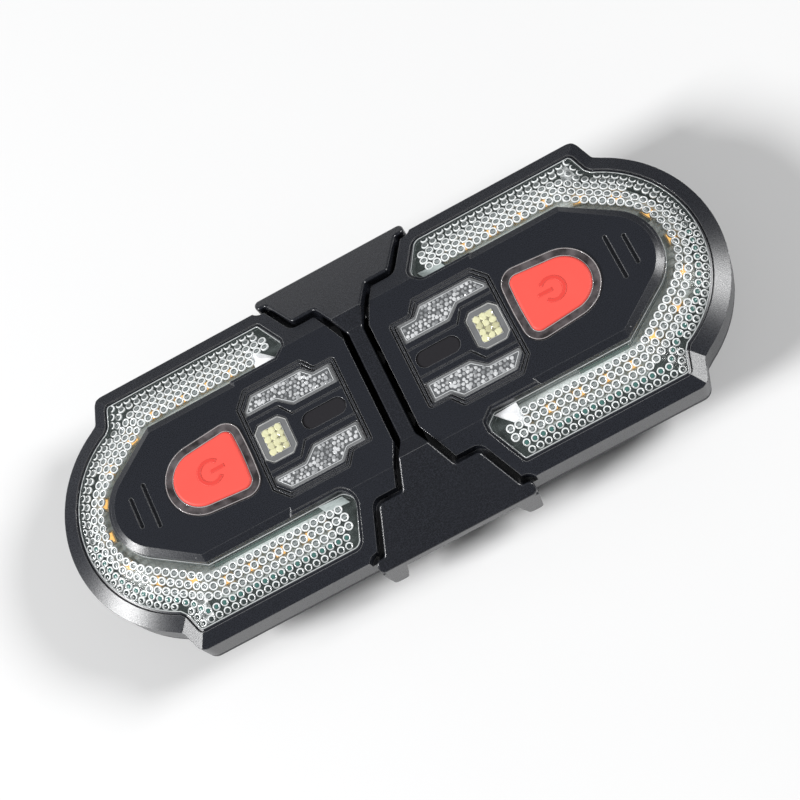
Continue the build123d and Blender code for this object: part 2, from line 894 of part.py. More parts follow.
# Windows: clear blocks flanged under the face, and a dark one over the light sensor
for name, outline, flange, floor_drop in (
    ("upper_window", side_window_outline(1), side_window_outline(1, window_flange), window_floor_drop),
    ("lower_window", side_window_outline(-1), side_window_outline(-1, window_flange), window_floor_drop),
    ("light_window", light_window_outline(), light_window_outline(window_flange), window_floor_drop),
    ("sensor_window", sensor_window_outline(), sensor_window_outline(window_flange), sensor_floor_drop),
):
    with BuildPart() as window:
        with BuildSketch(level(plateau_z - floor_drop)):
            add(outline)
        extrude(amount=floor_drop - window_recess)
        with BuildSketch(level(ceiling_z - window_flange_thickness)):
            add(flange)
        extrude(amount=window_flange_thickness)
    lamp_pieces[name] = window.part

# Circuit board, hung from the four posts, with what is soldered to it
with BuildPart() as circuit_board:
    with BuildSketch(level(board_bottom_z)):
        add(board_outline())
        with Locations(*post_places()):
            Circle(screw_radius + screw_hole_gap, mode=Mode.SUBTRACT)
    extrude(amount=board_thickness)
lamp_pieces["circuit_board"] = circuit_board.part

with BuildPart() as signal_leds:
    with BuildSketch(level(board_top_z)):
        row = [led_row_start_x + i * led_row_pitch for i in range(led_row_count)]
        with Locations(*[(x, side * led_row_y) for x in row for side in (-1, 1)]):
            Rectangle(led_length, led_width)
        with Locations((nose_centre_x, 0)):
            first = -led_arc_step * (led_arc_count - 1) / 2
            with PolarLocations(led_arc_radius, led_arc_count, first, -2 * first, endpoint=True):
                Rectangle(led_width, led_length)
    extrude(amount=led_height)
lamp_pieces["signal_leds"] = signal_leds.part

with BuildPart() as white_leds:
    with BuildSketch(level(board_top_z)):
        with Locations((light_window_x, 0)):
            with GridLocations(chip_pitch, chip_pitch, chip_columns, chip_rows):
                Rectangle(chip_side, chip_side)
        for side in (-1, 1):
            side_chip_xs = [side_chip_x + i * side_chip_pitch for i in range(side_chip_count)]
            with Locations(*[(x, side * side_chip_y) for x in side_chip_xs]):
                Rectangle(chip_side, chip_side)
    extrude(amount=chip_height)
lamp_pieces["white_leds"] = white_leds.part

with BuildPart() as light_sensor:
    with BuildSketch(level(board_top_z)):
        with Locations((sensor_x, 0)):
            Rectangle(chip_pitch, chip_side)
    extrude(amount=chip_height)
lamp_pieces["light_sensor"] = light_sensor.part

with BuildPart() as board_chips:
    with BuildSketch(level(board_bottom_z)):
        with Locations((controller_x, 0)):
            Rectangle(controller_side, controller_side)
        with Locations((radio_x, 0)):
            Rectangle(radio_length, radio_width)
    extrude(amount=-controller_height)
lamp_pieces["board_chips"] = board_chips.part

with BuildPart() as board_screws:
    for x, y in post_places():
        with Locations((x, y, 0)):
            add(screw(board_bottom_z - screw_head_height, board_screw_length))
lamp_pieces["board_screws"] = board_screws.part

# Battery on its foam pad
pad_top_z = seam_z + battery_pad_thickness
with BuildPart() as battery_pad:
    with BuildSketch(level(seam_z)):
        with Locations((battery_x, 0)):
            Rectangle(battery_length - wall, battery_width - wall)
    extrude(amount=battery_pad_thickness)
lamp_pieces["battery_pad"] = battery_pad.part

with BuildPart() as battery:
    with BuildSketch(level(pad_top_z)):
        with Locations((battery_x, 0)):
            Rectangle(battery_length, battery_width)
    extrude(amount=battery_thickness)
    fillet(battery.edges().filter_by(Axis.X), battery_edge_radius)
lamp_pieces["battery"] = battery.part

# Charging port, which faces out of the lamp's back
port_mouth_z = lamp_back_z + port_mouth_depth
with BuildPart() as charging_port:
    with BuildSketch(level(port_mouth_z)):
        add(port_outline())
    extrude(amount=board_bottom_z - port_mouth_z)
    with BuildSketch(level(port_mouth_z)):
        add(port_outline(-port_shell))
    extrude(amount=port_depth, mode=Mode.SUBTRACT)
    with BuildSketch(level(port_mouth_z + port_shell)):
        with Locations((port_x, 0)):
            Rectangle(tongue_length, tongue_thickness)
    extrude(amount=port_depth)
lamp_pieces["charging_port"] = charging_port.part

# Back cover with its lip, screw seats, port opening and the recess for the plug
plug_far_x = plug_hinge_x - plug_length
recess_depth = plug_thickness + part_gap
with BuildPart() as back_cover:
    with BuildSketch(level(lamp_back_z)):
        add(lamp_outline())
    extrude(amount=cover_thickness)
    chamfer(back_cover.edges().group_by(Axis.Z)[0], cover_edge_chamfer)
    with BuildSketch(level(seam_z)):
        add(lamp_outline(wall + part_gap))
        add(lamp_outline(wall + part_gap + lip_thickness), mode=Mode.SUBTRACT)
        with Locations(*boss_places()):
            Circle(boss_radius + plug_gap, mode=Mode.SUBTRACT)
    extrude(amount=lip_height)
    with BuildSketch(level(lamp_back_z)):
        with Locations(*boss_places()):
            Circle(screw_radius + screw_hole_gap)
    extrude(amount=cover_thickness, mode=Mode.SUBTRACT)
    with BuildSketch(level(lamp_back_z)):
        with Locations(*boss_places()):
            Circle(screw_head_radius + screw_hole_gap)
    extrude(amount=screw_head_height, mode=Mode.SUBTRACT)
    with BuildSketch(level(lamp_back_z)):
        add(port_outline(2 * plug_gap))
    extrude(amount=cover_thickness, mode=Mode.SUBTRACT)
    with BuildSketch(level(lamp_back_z)):
        recess_length = plug_length + plug_thickness / 2 + 2 * plug_gap
        with Locations((plug_far_x - plug_gap + recess_length / 2, 0)):
            Rectangle(recess_length, plug_width + 2 * plug_gap)
        with Locations((plug_far_x, 0)):
            Circle(plug_pull_radius)
    extrude(amount=recess_depth, mode=Mode.SUBTRACT)
lamp_pieces["back_cover"] = back_cover.part

with BuildPart() as cover_seal:
    with BuildSketch(level(seam_z)):
        add(lamp_outline((wall - seal_width) / 2))
        add(lamp_outline((wall + seal_width) / 2), mode=Mode.SUBTRACT)
    extrude(amount=seal_height)
lamp_pieces["cover_seal"] = cover_seal.part

with BuildPart() as cover_screws:
    for x, y in boss_places():
        with Locations((x, y, 0)):
            add(screw(lamp_back_z, screw_length))
lamp_pieces["cover_screws"] = cover_screws.part

# Port plug: a rubber flap with a stem in the opening, hinged at its end near the nose
with BuildPart() as port_plug:
    with BuildSketch(level(lamp_back_z)):
        with Locations((plug_hinge_x - plug_length / 2, 0)):
            Rectangle(plug_length, plug_width)
    extrude(amount=plug_thickness)
    fillet(port_plug.edges().filter_by(Axis.Z).group_by(Axis.X)[0], plug_corner_radius)
    with BuildSketch(Plane.XZ):
        with Locations((plug_hinge_x, lamp_back_z + plug_thickness / 2)):
            Circle(plug_thickness / 2)
    extrude(amount=plug_width / 2, both=True)
    with BuildSketch(level(lamp_back_z + plug_thickness)):
        add(port_outline(plug_gap / 2))
    extrude(amount=plug_stem_height)
lamp_pieces["port_plug"] = port_plug.part

# Saddle bracket: a raised wing over each side of both lamps, joined by a thin web
wing_under_z = plateau_z - shelf_drop + slide_gap
band_inner_y = lamp_half_width + slide_gap
band_inner_z = wing_under_z - roof_slope * (band_inner_y - plateau_half_width)
band_top_z = plateau_z - bracket_edge_drop
band_low_z = band_top_z - bracket_band_height
crease_z = plateau_z + crease_rise
wing_slope = (crease_z - band_top_z) / (bracket_half_width - crease_half_width)
tab_low_z = band_low_z - tab_drop


def bracket_top(y):
    """Height of the bracket's upper side at this distance from the X axis."""
    if y <= ridge_half_width:
        return plateau_z
    if y <= crease_half_width:
        return plateau_z + crease_rise * (y - ridge_half_width) / (crease_half_width - ridge_half_width)
    return crease_z - wing_slope * (y - crease_half_width)


def on_upper_rim(edge):
    """True for an edge that bounds the bracket's upper side in plan."""
    ends = [edge @ share for share in (0, 1)]
    along_x = abs(ends[0].Y - ends[1].Y) < part_gap
    inner = abs(ends[0].Y) < bracket_half_width - part_gap and abs(ends[0].Y) > part_gap
    creases = (ridge_half_width, crease_half_width)
    crosses = along_x and any(abs(abs(ends[0].Y) - y) < part_gap for y in creases)
    if inner and crosses:
        return False
    return all(abs(end.Z - bracket_top(abs(end.Y))) < part_gap / 2 for end in ends)


with BuildPart() as saddle_bracket:
    with BuildSketch(Plane.YZ):
        Polygon(
            (0, wing_under_z),
            (plateau_half_width, wing_under_z),
            (band_inner_y, band_inner_z),
            (band_inner_y, band_low_z),
            (bracket_half_width, band_low_z),
            (bracket_half_width, band_top_z),
            (crease_half_width, crease_z),
            (ridge_half_width, plateau_z),
            (0, plateau_z),
            align=None,
        )
        mirror(about=Plane.YZ)
    extrude(amount=bracket_end_x, both=True)
    with BuildSketch(level(0)):
        add(bracket_outline())
    extrude(amount=crease_z + overrun, mode=Mode.INTERSECT)
    fillet([edge for edge in saddle_bracket.edges() if on_upper_rim(edge)], bracket_edge_radius)
    with BuildSketch(Plane.YZ):
        Polygon(
            (0, mount_height),
            (lamp_half_width, mount_height),
            (lamp_half_width, band_inner_z),
            (plateau_half_width, wing_under_z),
            (0, wing_under_z),
            align=None,
        )
        mirror(about=Plane.YZ)
    extrude(amount=neck_half_width, both=True)
    with BuildSketch(level(mount_height)):
        with Locations(*web_boss_places()):
            Circle(web_boss_radius)
    extrude(amount=web_boss_height)
    with BuildSketch(level(mount_height)):
        with Locations(*web_boss_places()):
            Circle(pilot_radius)
    extrude(amount=screw_length, mode=Mode.SUBTRACT)
    with BuildSketch(Plane.XZ.offset(-bracket_half_width)) as tab_outline:
        Polygon(
            (tab_inner_x, band_low_z + tab_radius),
            (tab_inner_x, band_low_z),
            (tab_tip_inner_x, tab_low_z),
            (tab_tip_outer_x, tab_low_z),
            (tab_outer_x, band_low_z),
            (tab_outer_x, band_low_z + tab_radius),
            align=None,
        )
        fillet(tab_outline.vertices().group_by(Axis.Y)[0], tab_radius)
        mirror(about=Plane.YZ)
    extrude(amount=tab_thickness)
    lip_width = tab_tip_outer_x - tab_tip_inner_x
    lip_depth = tab_thickness + tab_lip_reach
    with BuildSketch(level(mount_height)):
        for side in (-1, 1):
            with Locations((side * (tab_tip_inner_x + lip_width / 2), bracket_half_width - lip_depth / 2)):
                Rectangle(lip_width, lip_depth)
    extrude(amount=-tab_lip_thickness)
    mirror(about=Plane.XZ)
bracket_pieces = {"saddle_bracket": saddle_bracket.part}

# Post mount, its rubber pad and the screws that hold it to the bracket
cradle_radius = post_radius + post_pad_thickness
cradle_axis_z = cradle_depth - cradle_radius
mount_screw_z = cradle_depth + part_gap

with BuildPart() as post_mount:
    with BuildSketch(level(0)):
        Rectangle(2 * mount_half_length, 2 * mount_half_width)
    extrude(amount=mount_height)
    fillet(post_mount.edges().filter_by(Axis.Z), mount_corner_radius)
    chamfer(post_mount.edges().group_by(Axis.Z)[-1], mount_edge_chamfer)
    with BuildSketch(Plane.XZ):
        with Locations((0, cradle_axis_z)):
            Circle(cradle_radius)
        for side in (-1, 1):
            with Locations((side * mount_half_length, band_ear_height + band_notch_height / 2)):
                Rectangle(2 * band_notch_depth, band_notch_height)
    extrude(amount=mount_half_width, both=True, mode=Mode.SUBTRACT)
    with BuildSketch(level(0)):
        with Locations(*web_boss_places()):
            Circle(screw_head_radius + screw_hole_gap)
    extrude(amount=mount_screw_z + screw_head_height, mode=Mode.SUBTRACT)
    with BuildSketch(level(0)):
        with Locations(*web_boss_places()):
            Circle(screw_radius + screw_hole_gap)
    extrude(amount=mount_height, mode=Mode.SUBTRACT)
bracket_pieces["post_mount"] = post_mount.part

with BuildPart() as post_pad:
    with BuildSketch(Plane.XZ):
        with Locations((0, cradle_axis_z)):
            Circle(cradle_radius)
            Circle(post_radius, mode=Mode.SUBTRACT)
        with Locations((0, cradle_radius)):
            Rectangle(2 * cradle_radius, 2 * cradle_radius, mode=Mode.INTERSECT)
    extrude(amount=mount_half_width, both=True)
bracket_pieces["post_pad"] = post_pad.part

with BuildPart() as mount_screws:
    for x, y in web_boss_places():
        with Locations((x, y, 0)):
            add(screw(mount_screw_z, screw_length))
bracket_pieces["mount_screws"] = mount_screws.part

os.makedirs("parts", exist_ok=True)
for side, turn in (("right", 0), ("left", half_turn)):
    for name, piece in lamp_pieces.items():
        placed = piece.rotate(Axis.Z, turn)
        placed.label = f"{side}_{name}"
        export_step(placed, f"parts/{side}_{name}.step")
for name, piece in bracket_pieces.items():
    piece.label = name
    export_step(piece, f"parts/{name}.step")
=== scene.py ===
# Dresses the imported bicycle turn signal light: two lamps in a saddle bracket.
# Lengths are in metres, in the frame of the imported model: X along the light, Y across it, Z out of its face.
# Each lamp piece is drawn for the right lamp, and the left lamp has it again after a half turn about Z.
import json
import math
import random

import bmesh
import bpy
from bpy.props import FloatProperty, FloatVectorProperty, PointerProperty
from bpy.types import Operator, Panel, PropertyGroup
from mathutils import Matrix, Vector
from mathutils.bvhtree import BVHTree


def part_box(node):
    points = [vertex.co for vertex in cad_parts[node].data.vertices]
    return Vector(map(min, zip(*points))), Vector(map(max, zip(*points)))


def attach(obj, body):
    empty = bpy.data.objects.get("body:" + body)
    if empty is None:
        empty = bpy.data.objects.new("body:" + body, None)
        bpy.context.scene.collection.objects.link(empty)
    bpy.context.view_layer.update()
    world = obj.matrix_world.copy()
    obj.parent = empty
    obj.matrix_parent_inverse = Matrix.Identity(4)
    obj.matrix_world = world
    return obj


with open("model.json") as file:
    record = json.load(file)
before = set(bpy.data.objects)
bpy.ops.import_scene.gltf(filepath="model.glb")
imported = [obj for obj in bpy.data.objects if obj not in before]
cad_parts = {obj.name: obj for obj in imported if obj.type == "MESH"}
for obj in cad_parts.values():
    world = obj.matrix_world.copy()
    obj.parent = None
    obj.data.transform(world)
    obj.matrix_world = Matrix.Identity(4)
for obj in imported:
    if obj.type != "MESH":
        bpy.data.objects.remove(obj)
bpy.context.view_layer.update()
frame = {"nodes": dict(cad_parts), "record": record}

bl_info = {
    "name": "Bicycle turn signal light",
    "version": (1, 0, 0),
    "blender": (4, 5, 0),
    "location": "3D View > Sidebar > Signal Light",
    "description": "Finishes and small pieces of a twin bicycle turn signal light",
    "category": "Object",
}

MM = 0.001
SIDES = {"right": 1, "left": -1}
SLOTS = {part["node"]: part["material_slot"] for part in frame["record"]["subparts"]}


def plan_points(*places):
    """Plan points from places in millimetres."""
    return [Vector((x * MM, y * MM)) for x, y in places]


# Plan of the island that the lens runs round, for the right lamp
island_half_width = 19.5 * MM
island_taper_x = 57.5 * MM
island_nose_x = 62.2 * MM
island_nose_radius = 13.4 * MM
lens_nose_x = 56.8 * MM
lens_corner_x = 66.3 * MM
lens_notch = Vector((67.9 * MM, 27.2 * MM))
lens_nose_angle = math.radians(62)

# Lenslet rows: what each follows, where it starts along the arm, its distance from what it follows
# on the arm and at the nose, its lenslets' share of the full radius, how far out it counts for its
# shading, and whether it ends half a step short. Where rows crowd, the earlier row keeps its lenslets.
lenslet_rows = (
    ("island", 23.2 * MM, 3.1 * MM, 3.0 * MM, 1.0, 0.0, False),
    ("island", 22.6 * MM, 5.3 * MM, 5.2 * MM, 1.0, 0.0, True),
    ("rim", 24.9 * MM, 1.1 * MM, 1.0 * MM, 0.88, 1.0, False),
    ("rim", 24.5 * MM, 3.0 * MM, 2.65 * MM, 0.88, 0.6, True),
    ("island", 22.7 * MM, 7.5 * MM, 7.4 * MM, 1.0, 0.2, False),
)
lenslet_crowding = 0.83
# Painted shade on the outer rows' rings: how much it dims their downhill half on the upper and the lower side,
# and how steeply.
upper_side_shading = 0.95
lower_side_shading = 0.35
shading_slope = 2.0

# Lenslet from its foot over its ring and groove to its dome: share of its radius and of its height
lenslet_profile = (
    (1.0, -1.2), (1.0, 0.2), (0.96, 0.8), (0.84, 1.0), (0.72, 0.85), (0.62, 0.35), (0.50, 0.45), (0.30, 0.8),
)
lenslet_top = 0.95
lenslet_sides = 16
lenslet_feelers = 8

# Bare facets in plan: at the tip of the lens's pointed arm, and beside the island on its blunt arm
tip_facet = plan_points((20.5, -20.1), (26.7, -19.7), (27.2, -26.8))
round_facet = plan_points((20.9, 20.1), (27.2, 19.7), (26.0, 21.9), (19.7, 22.3))
tip_facet_peak = 0.45 * MM
round_facet_peak = 0.25 * MM
facet_half_thickness = 0.2 * MM

# Reflector under the shoulder of the blunt arm, in plan, and its faces' depths under the lens
reflector_plan = plan_points((62.0, 24.6), (65.0, 24.8), (65.8, 27.2), (64.6, 31.2), (62.2, 31.2))
reflector_top_depth = 0.05 * MM
reflector_foot_depth = 0.6 * MM

# Dark shield under the end of an arm, painted shade: where its rows start in plan, where they end and its
# faces' depths
shield_starts = plan_points((21.6, 19.9), (19.5, 21.8), (19.2, 23.4), (20.9, 27.4), (24.2, 31.4))
shield_end_x = 26.8 * MM
shield_depths = (0.12 * MM, 0.4 * MM)

# Green board edges: where they start on the upper and the lower arm, and their cross-section
board_edge_starts = ((1, 24.5 * MM), (-1, 43.5 * MM))
board_edge_end_x = 56.8 * MM
board_edge_gap = 0.08 * MM
board_edge_reach = 0.3 * MM
board_edge_height = 1.9 * MM

# Beads, which paint highlight lines, and phosphor
rim_highlight_radius = 0.13 * MM
ring_highlight_radius = 0.12 * MM
line_highlight_radius = 0.1 * MM
least_loop_corners = 20
least_ring_corners = 12
phosphor_rise = 0.14 * MM
phosphor_top_share = 0.82

# Trays in the windows, that the pebbles and cells stand on
tray_border = 0.75 * MM
tray_sink = 0.2 * MM
tray_rise = 0.04 * MM
tray_step = 0.3 * MM

# Pebbles: height and seed of their draws, then their row pitch, wander and radii as shares of their
# spacing, their distance from the border as a share of the radius, and the same for their profile,
# whose second numbers are shares of the height
pebble_height = 0.25 * MM
pebble_seed = 40
pebble_row_pitch = 0.9
pebble_wander = 0.2
pebble_radii = (0.36, 0.56)
pebble_clearance = 0.6
pebble_profile = ((0.85, -0.4), (1.0, 0.35), (0.62, 1.0))

# Cells of the eight-sided window
cell_seed = 5
cell_columns = 3
cell_rows = 4
cell_pitch = 1.75 * MM
cell_radius_share = 0.6
cell_tray_rise = 0.05 * MM
cell_height = 0.24 * MM
cell_rim_inset = 0.3 * MM

# Power mark, in plan
mark_centre = Vector((47.1 * MM, 0))
mark_radius = 3.5 * MM
mark_bar = 3.8 * MM
mark_heading = math.pi
mark_gap = math.radians(40)
mark_sink = 0.12 * MM
mark_rise = 0.14 * MM

# Ribs on the post pad
rib_radius = 0.3 * MM
rib_margin = 1.5 * MM
rib_spread = 0.9
rib_half_steps = 8

# Stage: each lamp's place, width and power, the world's light, and the camera
floor_radius = 6
floor_drop = 0.1 * MM
stage_lamps = (
    ("key", Vector((-1.66, -0.16, 1.10)), 0.7, 48.0),
    ("fill", Vector((1.54, -0.10, 1.26)), 0.7, 27.0),
)
world_colour = (0.97, 0.985, 1, 1)
world_strength = 0.16
camera_place = Vector((0.040846, -0.179129, 0.471766))
camera_across = Vector((0.87878, -0.41318, -0.23883))
camera_upward = Vector((0.47027, 0.83490, 0.28600))
camera_lens = 88.67
camera_sensor = 36


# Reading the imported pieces

def surface_of(node):
    """Search tree over a CAD piece's faces."""
    mesh = frame["nodes"][node].data
    return BVHTree.FromPolygons([v.co for v in mesh.vertices], [p.vertices[:] for p in mesh.polygons])


def solids_of(node):
    """The separate solids of a CAD piece, each as a list of its corners."""
    mesh = bmesh.new()
    mesh.from_mesh(frame["nodes"][node].data)
    bmesh.ops.remove_doubles(mesh, verts=mesh.verts, dist=0.001 * MM)
    left, solids = set(mesh.verts), []
    while left:
        reached, edge = set(), [min(left, key=lambda v: v.index)]
        while edge:
            vertex = edge.pop()
            if vertex not in reached:
                reached.add(vertex)
                edge += [e.other_vert(vertex) for e in vertex.link_edges]
        left -= reached
        solids.append([v.co.copy() for v in reached])
    mesh.free()
    return sorted(solids, key=lambda points: [round(v, 5) for v in points_centre(points).to_2d()])


def points_centre(points):
    """Middle of the points' box."""
    low = Vector([min(p[i] for p in points) for i in range(3)])
    high = Vector([max(p[i] for p in points) for i in range(3)])
    return (low + high) / 2


def upper_loops(node, least_rise):
    """Closed lines of points round the upward faces of a CAD piece."""
    mesh = bmesh.new()
    mesh.from_mesh(frame["nodes"][node].data)
    bmesh.ops.remove_doubles(mesh, verts=mesh.verts, dist=0.001 * MM)
    mesh.normal_update()
    mesh.edges.index_update()
    upward = {f for f in mesh.faces if f.normal.z > least_rise}
    left = {e for e in mesh.edges if sum(f in upward for f in e.link_faces) == 1}
    loops = []
    while left:
        edge = min(left, key=lambda e: e.index)
        start, vertex = edge.verts
        loop = [start.co.copy()]
        while edge is not None:
            left.discard(edge)
            if vertex is start:
                break
            loop.append(vertex.co.copy())
            edge = next((e for e in vertex.link_edges if e in left), None)
            if edge is not None:
                vertex = edge.other_vert(vertex)
        if len(loop) > 2:
            loops.append(loop)
    mesh.free()
    return loops


def inside_plan(point, outline, margin):
    """True for a plan point inside the outline and at least the margin away from it."""
    inside, nearest = False, math.inf
    for a, b in zip(outline, outline[1:] + outline[:1]):
        if (a.y > point.y) != (b.y > point.y):
            crossing = a.x + (point.y - a.y) * (b.x - a.x) / (b.y - a.y)
            inside = inside != (point.x < crossing)
        run = (b - a).to_2d()
        share = max(0, min(1, (point - a.to_2d()).dot(run) / max(run.length_squared, 1e-18)))
        nearest = min(nearest, (point - a.to_2d() - run * share).length)
    return inside and nearest >= margin


# Making meshes

def turned(point, turn):
    """The point on this side's lamp: turn is 1 for the right lamp and -1 for the left."""
    return Vector((point[0] * turn, point[1] * turn, point[2]))


def upwards(rise):
    """This far along Z."""
    return Vector((0, 0, rise))


def level(plan, z):
    """The plan's points at this height."""
    return [Vector((*place, z)) for place in plan]


def surface_at(surface, place, start_z, turn, way=-1):
    """Point and normal where a vertical line at a plan place of this side's lamp meets a surface."""
    return surface.ray_cast(turned((place[0], place[1], start_z), turn), upwards(way))[:2]


def new_piece(name, points, faces, body, material, smooth=True, edge_radius=0):
    """A piece of closed mesh that rides on a CAD body, with its edges rounded if it has a radius."""
    mesh = bpy.data.meshes.new(name)
    mesh.from_pydata([tuple(p) for p in points], [], faces)
    mesh.validate()
    shape = bmesh.new()
    shape.from_mesh(mesh)
    bmesh.ops.recalc_face_normals(shape, faces=shape.faces)
    shape.to_mesh(mesh)
    shape.free()
    for polygon in mesh.polygons:
        polygon.use_smooth = smooth
    mesh.materials.append(material)
    piece = bpy.data.objects.new(name, mesh)
    bpy.context.scene.collection.objects.link(piece)
    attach(piece, body)
    if edge_radius:
        bevel = piece.modifiers.new("rounded edges", "BEVEL")
        bevel.width = edge_radius
        bevel.segments = 2
        bevel.limit_method = "ANGLE"
        bevel.angle_limit = math.radians(30)
    return piece


def slab(low_points, high_points, points, faces):
    """Adds the solid between two outlines with the same number of points."""
    first, count = len(points), len(low_points)
    points += list(low_points) + list(high_points)
    faces.append(tuple(first + i for i in reversed(range(count))))
    faces.append(tuple(first + count + i for i in range(count)))
    for i in range(count):
        j = (i + 1) % count
        faces.append((first + i, first + j, first + count + j, first + count + i))


def swept_bead(line, radius, closed, points, faces, segments=8):
    """Adds a round bead along a line of points."""
    first, count = len(points), len(line)
    for i, point in enumerate(line):
        before = line[i - 1] if closed or i else line[i]
        after = line[(i + 1) % count] if closed or i < count - 1 else line[i]
        along = (after - before).normalized()
        across = along.cross(Vector((0, 0, 1))).normalized()
        upward = across.cross(along)
        for k in range(segments):
            angle = 2 * math.pi * k / segments
            points.append(point + radius * (math.cos(angle) * across + math.sin(angle) * upward))
    for i in range(count if closed else count - 1):
        j = (i + 1) % count
        for k in range(segments):
            m = (k + 1) % segments
            a, b = first + i * segments, first + j * segments
            faces.append((a + k, b + k, b + m, a + m))
    if not closed:
        faces.append(tuple(first + k for k in reversed(range(segments))))
        faces.append(tuple(first + (count - 1) * segments + k for k in range(segments)))


def spread_out(line, spacing, half_step):
    """Plan points at even steps along a line, the last at its end or half a step short of it."""
    lengths = [0]
    for a, b in zip(line, line[1:]):
        lengths.append(lengths[-1] + (b - a).length)
    steps = max(1, round(lengths[-1] / spacing - (0.5 if half_step else 0)))
    step = lengths[-1] / (steps + (0.5 if half_step else 0))
    spread, i = [], 0
    for n in range(steps + 1):
        want = min(n * step, lengths[-1])
        while i < len(line) - 2 and lengths[i + 1] < want:
            i += 1
        share = (want - lengths[i]) / max(lengths[i + 1] - lengths[i], 1e-12)
        spread.append(line[i].lerp(line[i + 1], min(1, share)))
    return spread


def arc_line(centre, radius, start, end, steps=24):
    """Plan points of an arc between two angles."""
    angles = [start + (end - start) * i / steps for i in range(steps + 1)]
    return [centre + radius * Vector((math.cos(a), math.sin(a))) for a in angles]


def inset_loop(loop, amount, spacing):
    """Plan points of a closed line drawn inwards by this amount."""
    samples = []
    for a, b in zip(loop, loop[1:] + loop[:1]):
        steps = max(1, round((b - a).length / spacing))
        samples += [a.lerp(b, i / steps) for i in range(steps)]
    inner = []
    for i, point in enumerate(samples):
        along = (samples[(i + 1) % len(samples)] - samples[i - 1]).to_2d().normalized()
        for way in (1, -1):
            place = point.to_2d() + way * amount * Vector((-along.y, along.x))
            if inside_plan(place, loop, 0.97 * amount):
                inner.append(place)
    return inner


def flat_band(pairs, surface, turn, top, sink, rise, points, faces):
    """Adds a raised band between pairs of plan points, seated on the surface under it."""
    first = len(points)
    for pair in pairs:
        a, b = (surface_at(surface, place, top, turn)[0] for place in pair)
        points += [a - upwards(sink), b - upwards(sink), b + upwards(rise), a + upwards(rise)]
    for i in range(len(pairs) - 1):
        a, b = first + 4 * i, first + 4 * (i + 1)
        for k in range(4):
            m = (k + 1) % 4
            faces.append((a + k, a + m, b + m, b + k))
    faces.append((first, first + 3, first + 2, first + 1))
    faces.append(tuple(len(points) - 4 + k for k in range(4)))


def pebble(place, radius, height, chance, points, faces, sides=7):
    """Adds a small uneven stone: a foot, a wide middle and a narrow flat top."""
    first = len(points)
    start = chance.uniform(0, math.pi)
    reaches = [radius * chance.uniform(0.8, 1.12) for _ in range(sides)]
    for share, rise in pebble_profile:
        for k in range(sides):
            angle = start + 2 * math.pi * k / sides
            outwards = reaches[k] * share * Vector((math.cos(angle), math.sin(angle), 0))
            points.append(place + outwards + upwards(rise * height))
    faces.append(tuple(first + k for k in reversed(range(sides))))
    faces.append(tuple(first + 2 * sides + k for k in range(sides)))
    for ring in (0, 1):
        a, b = first + ring * sides, first + (ring + 1) * sides
        for k in range(sides):
            m = (k + 1) % sides
            faces.append((a + k, a + m, b + m, b + k))


# Node materials

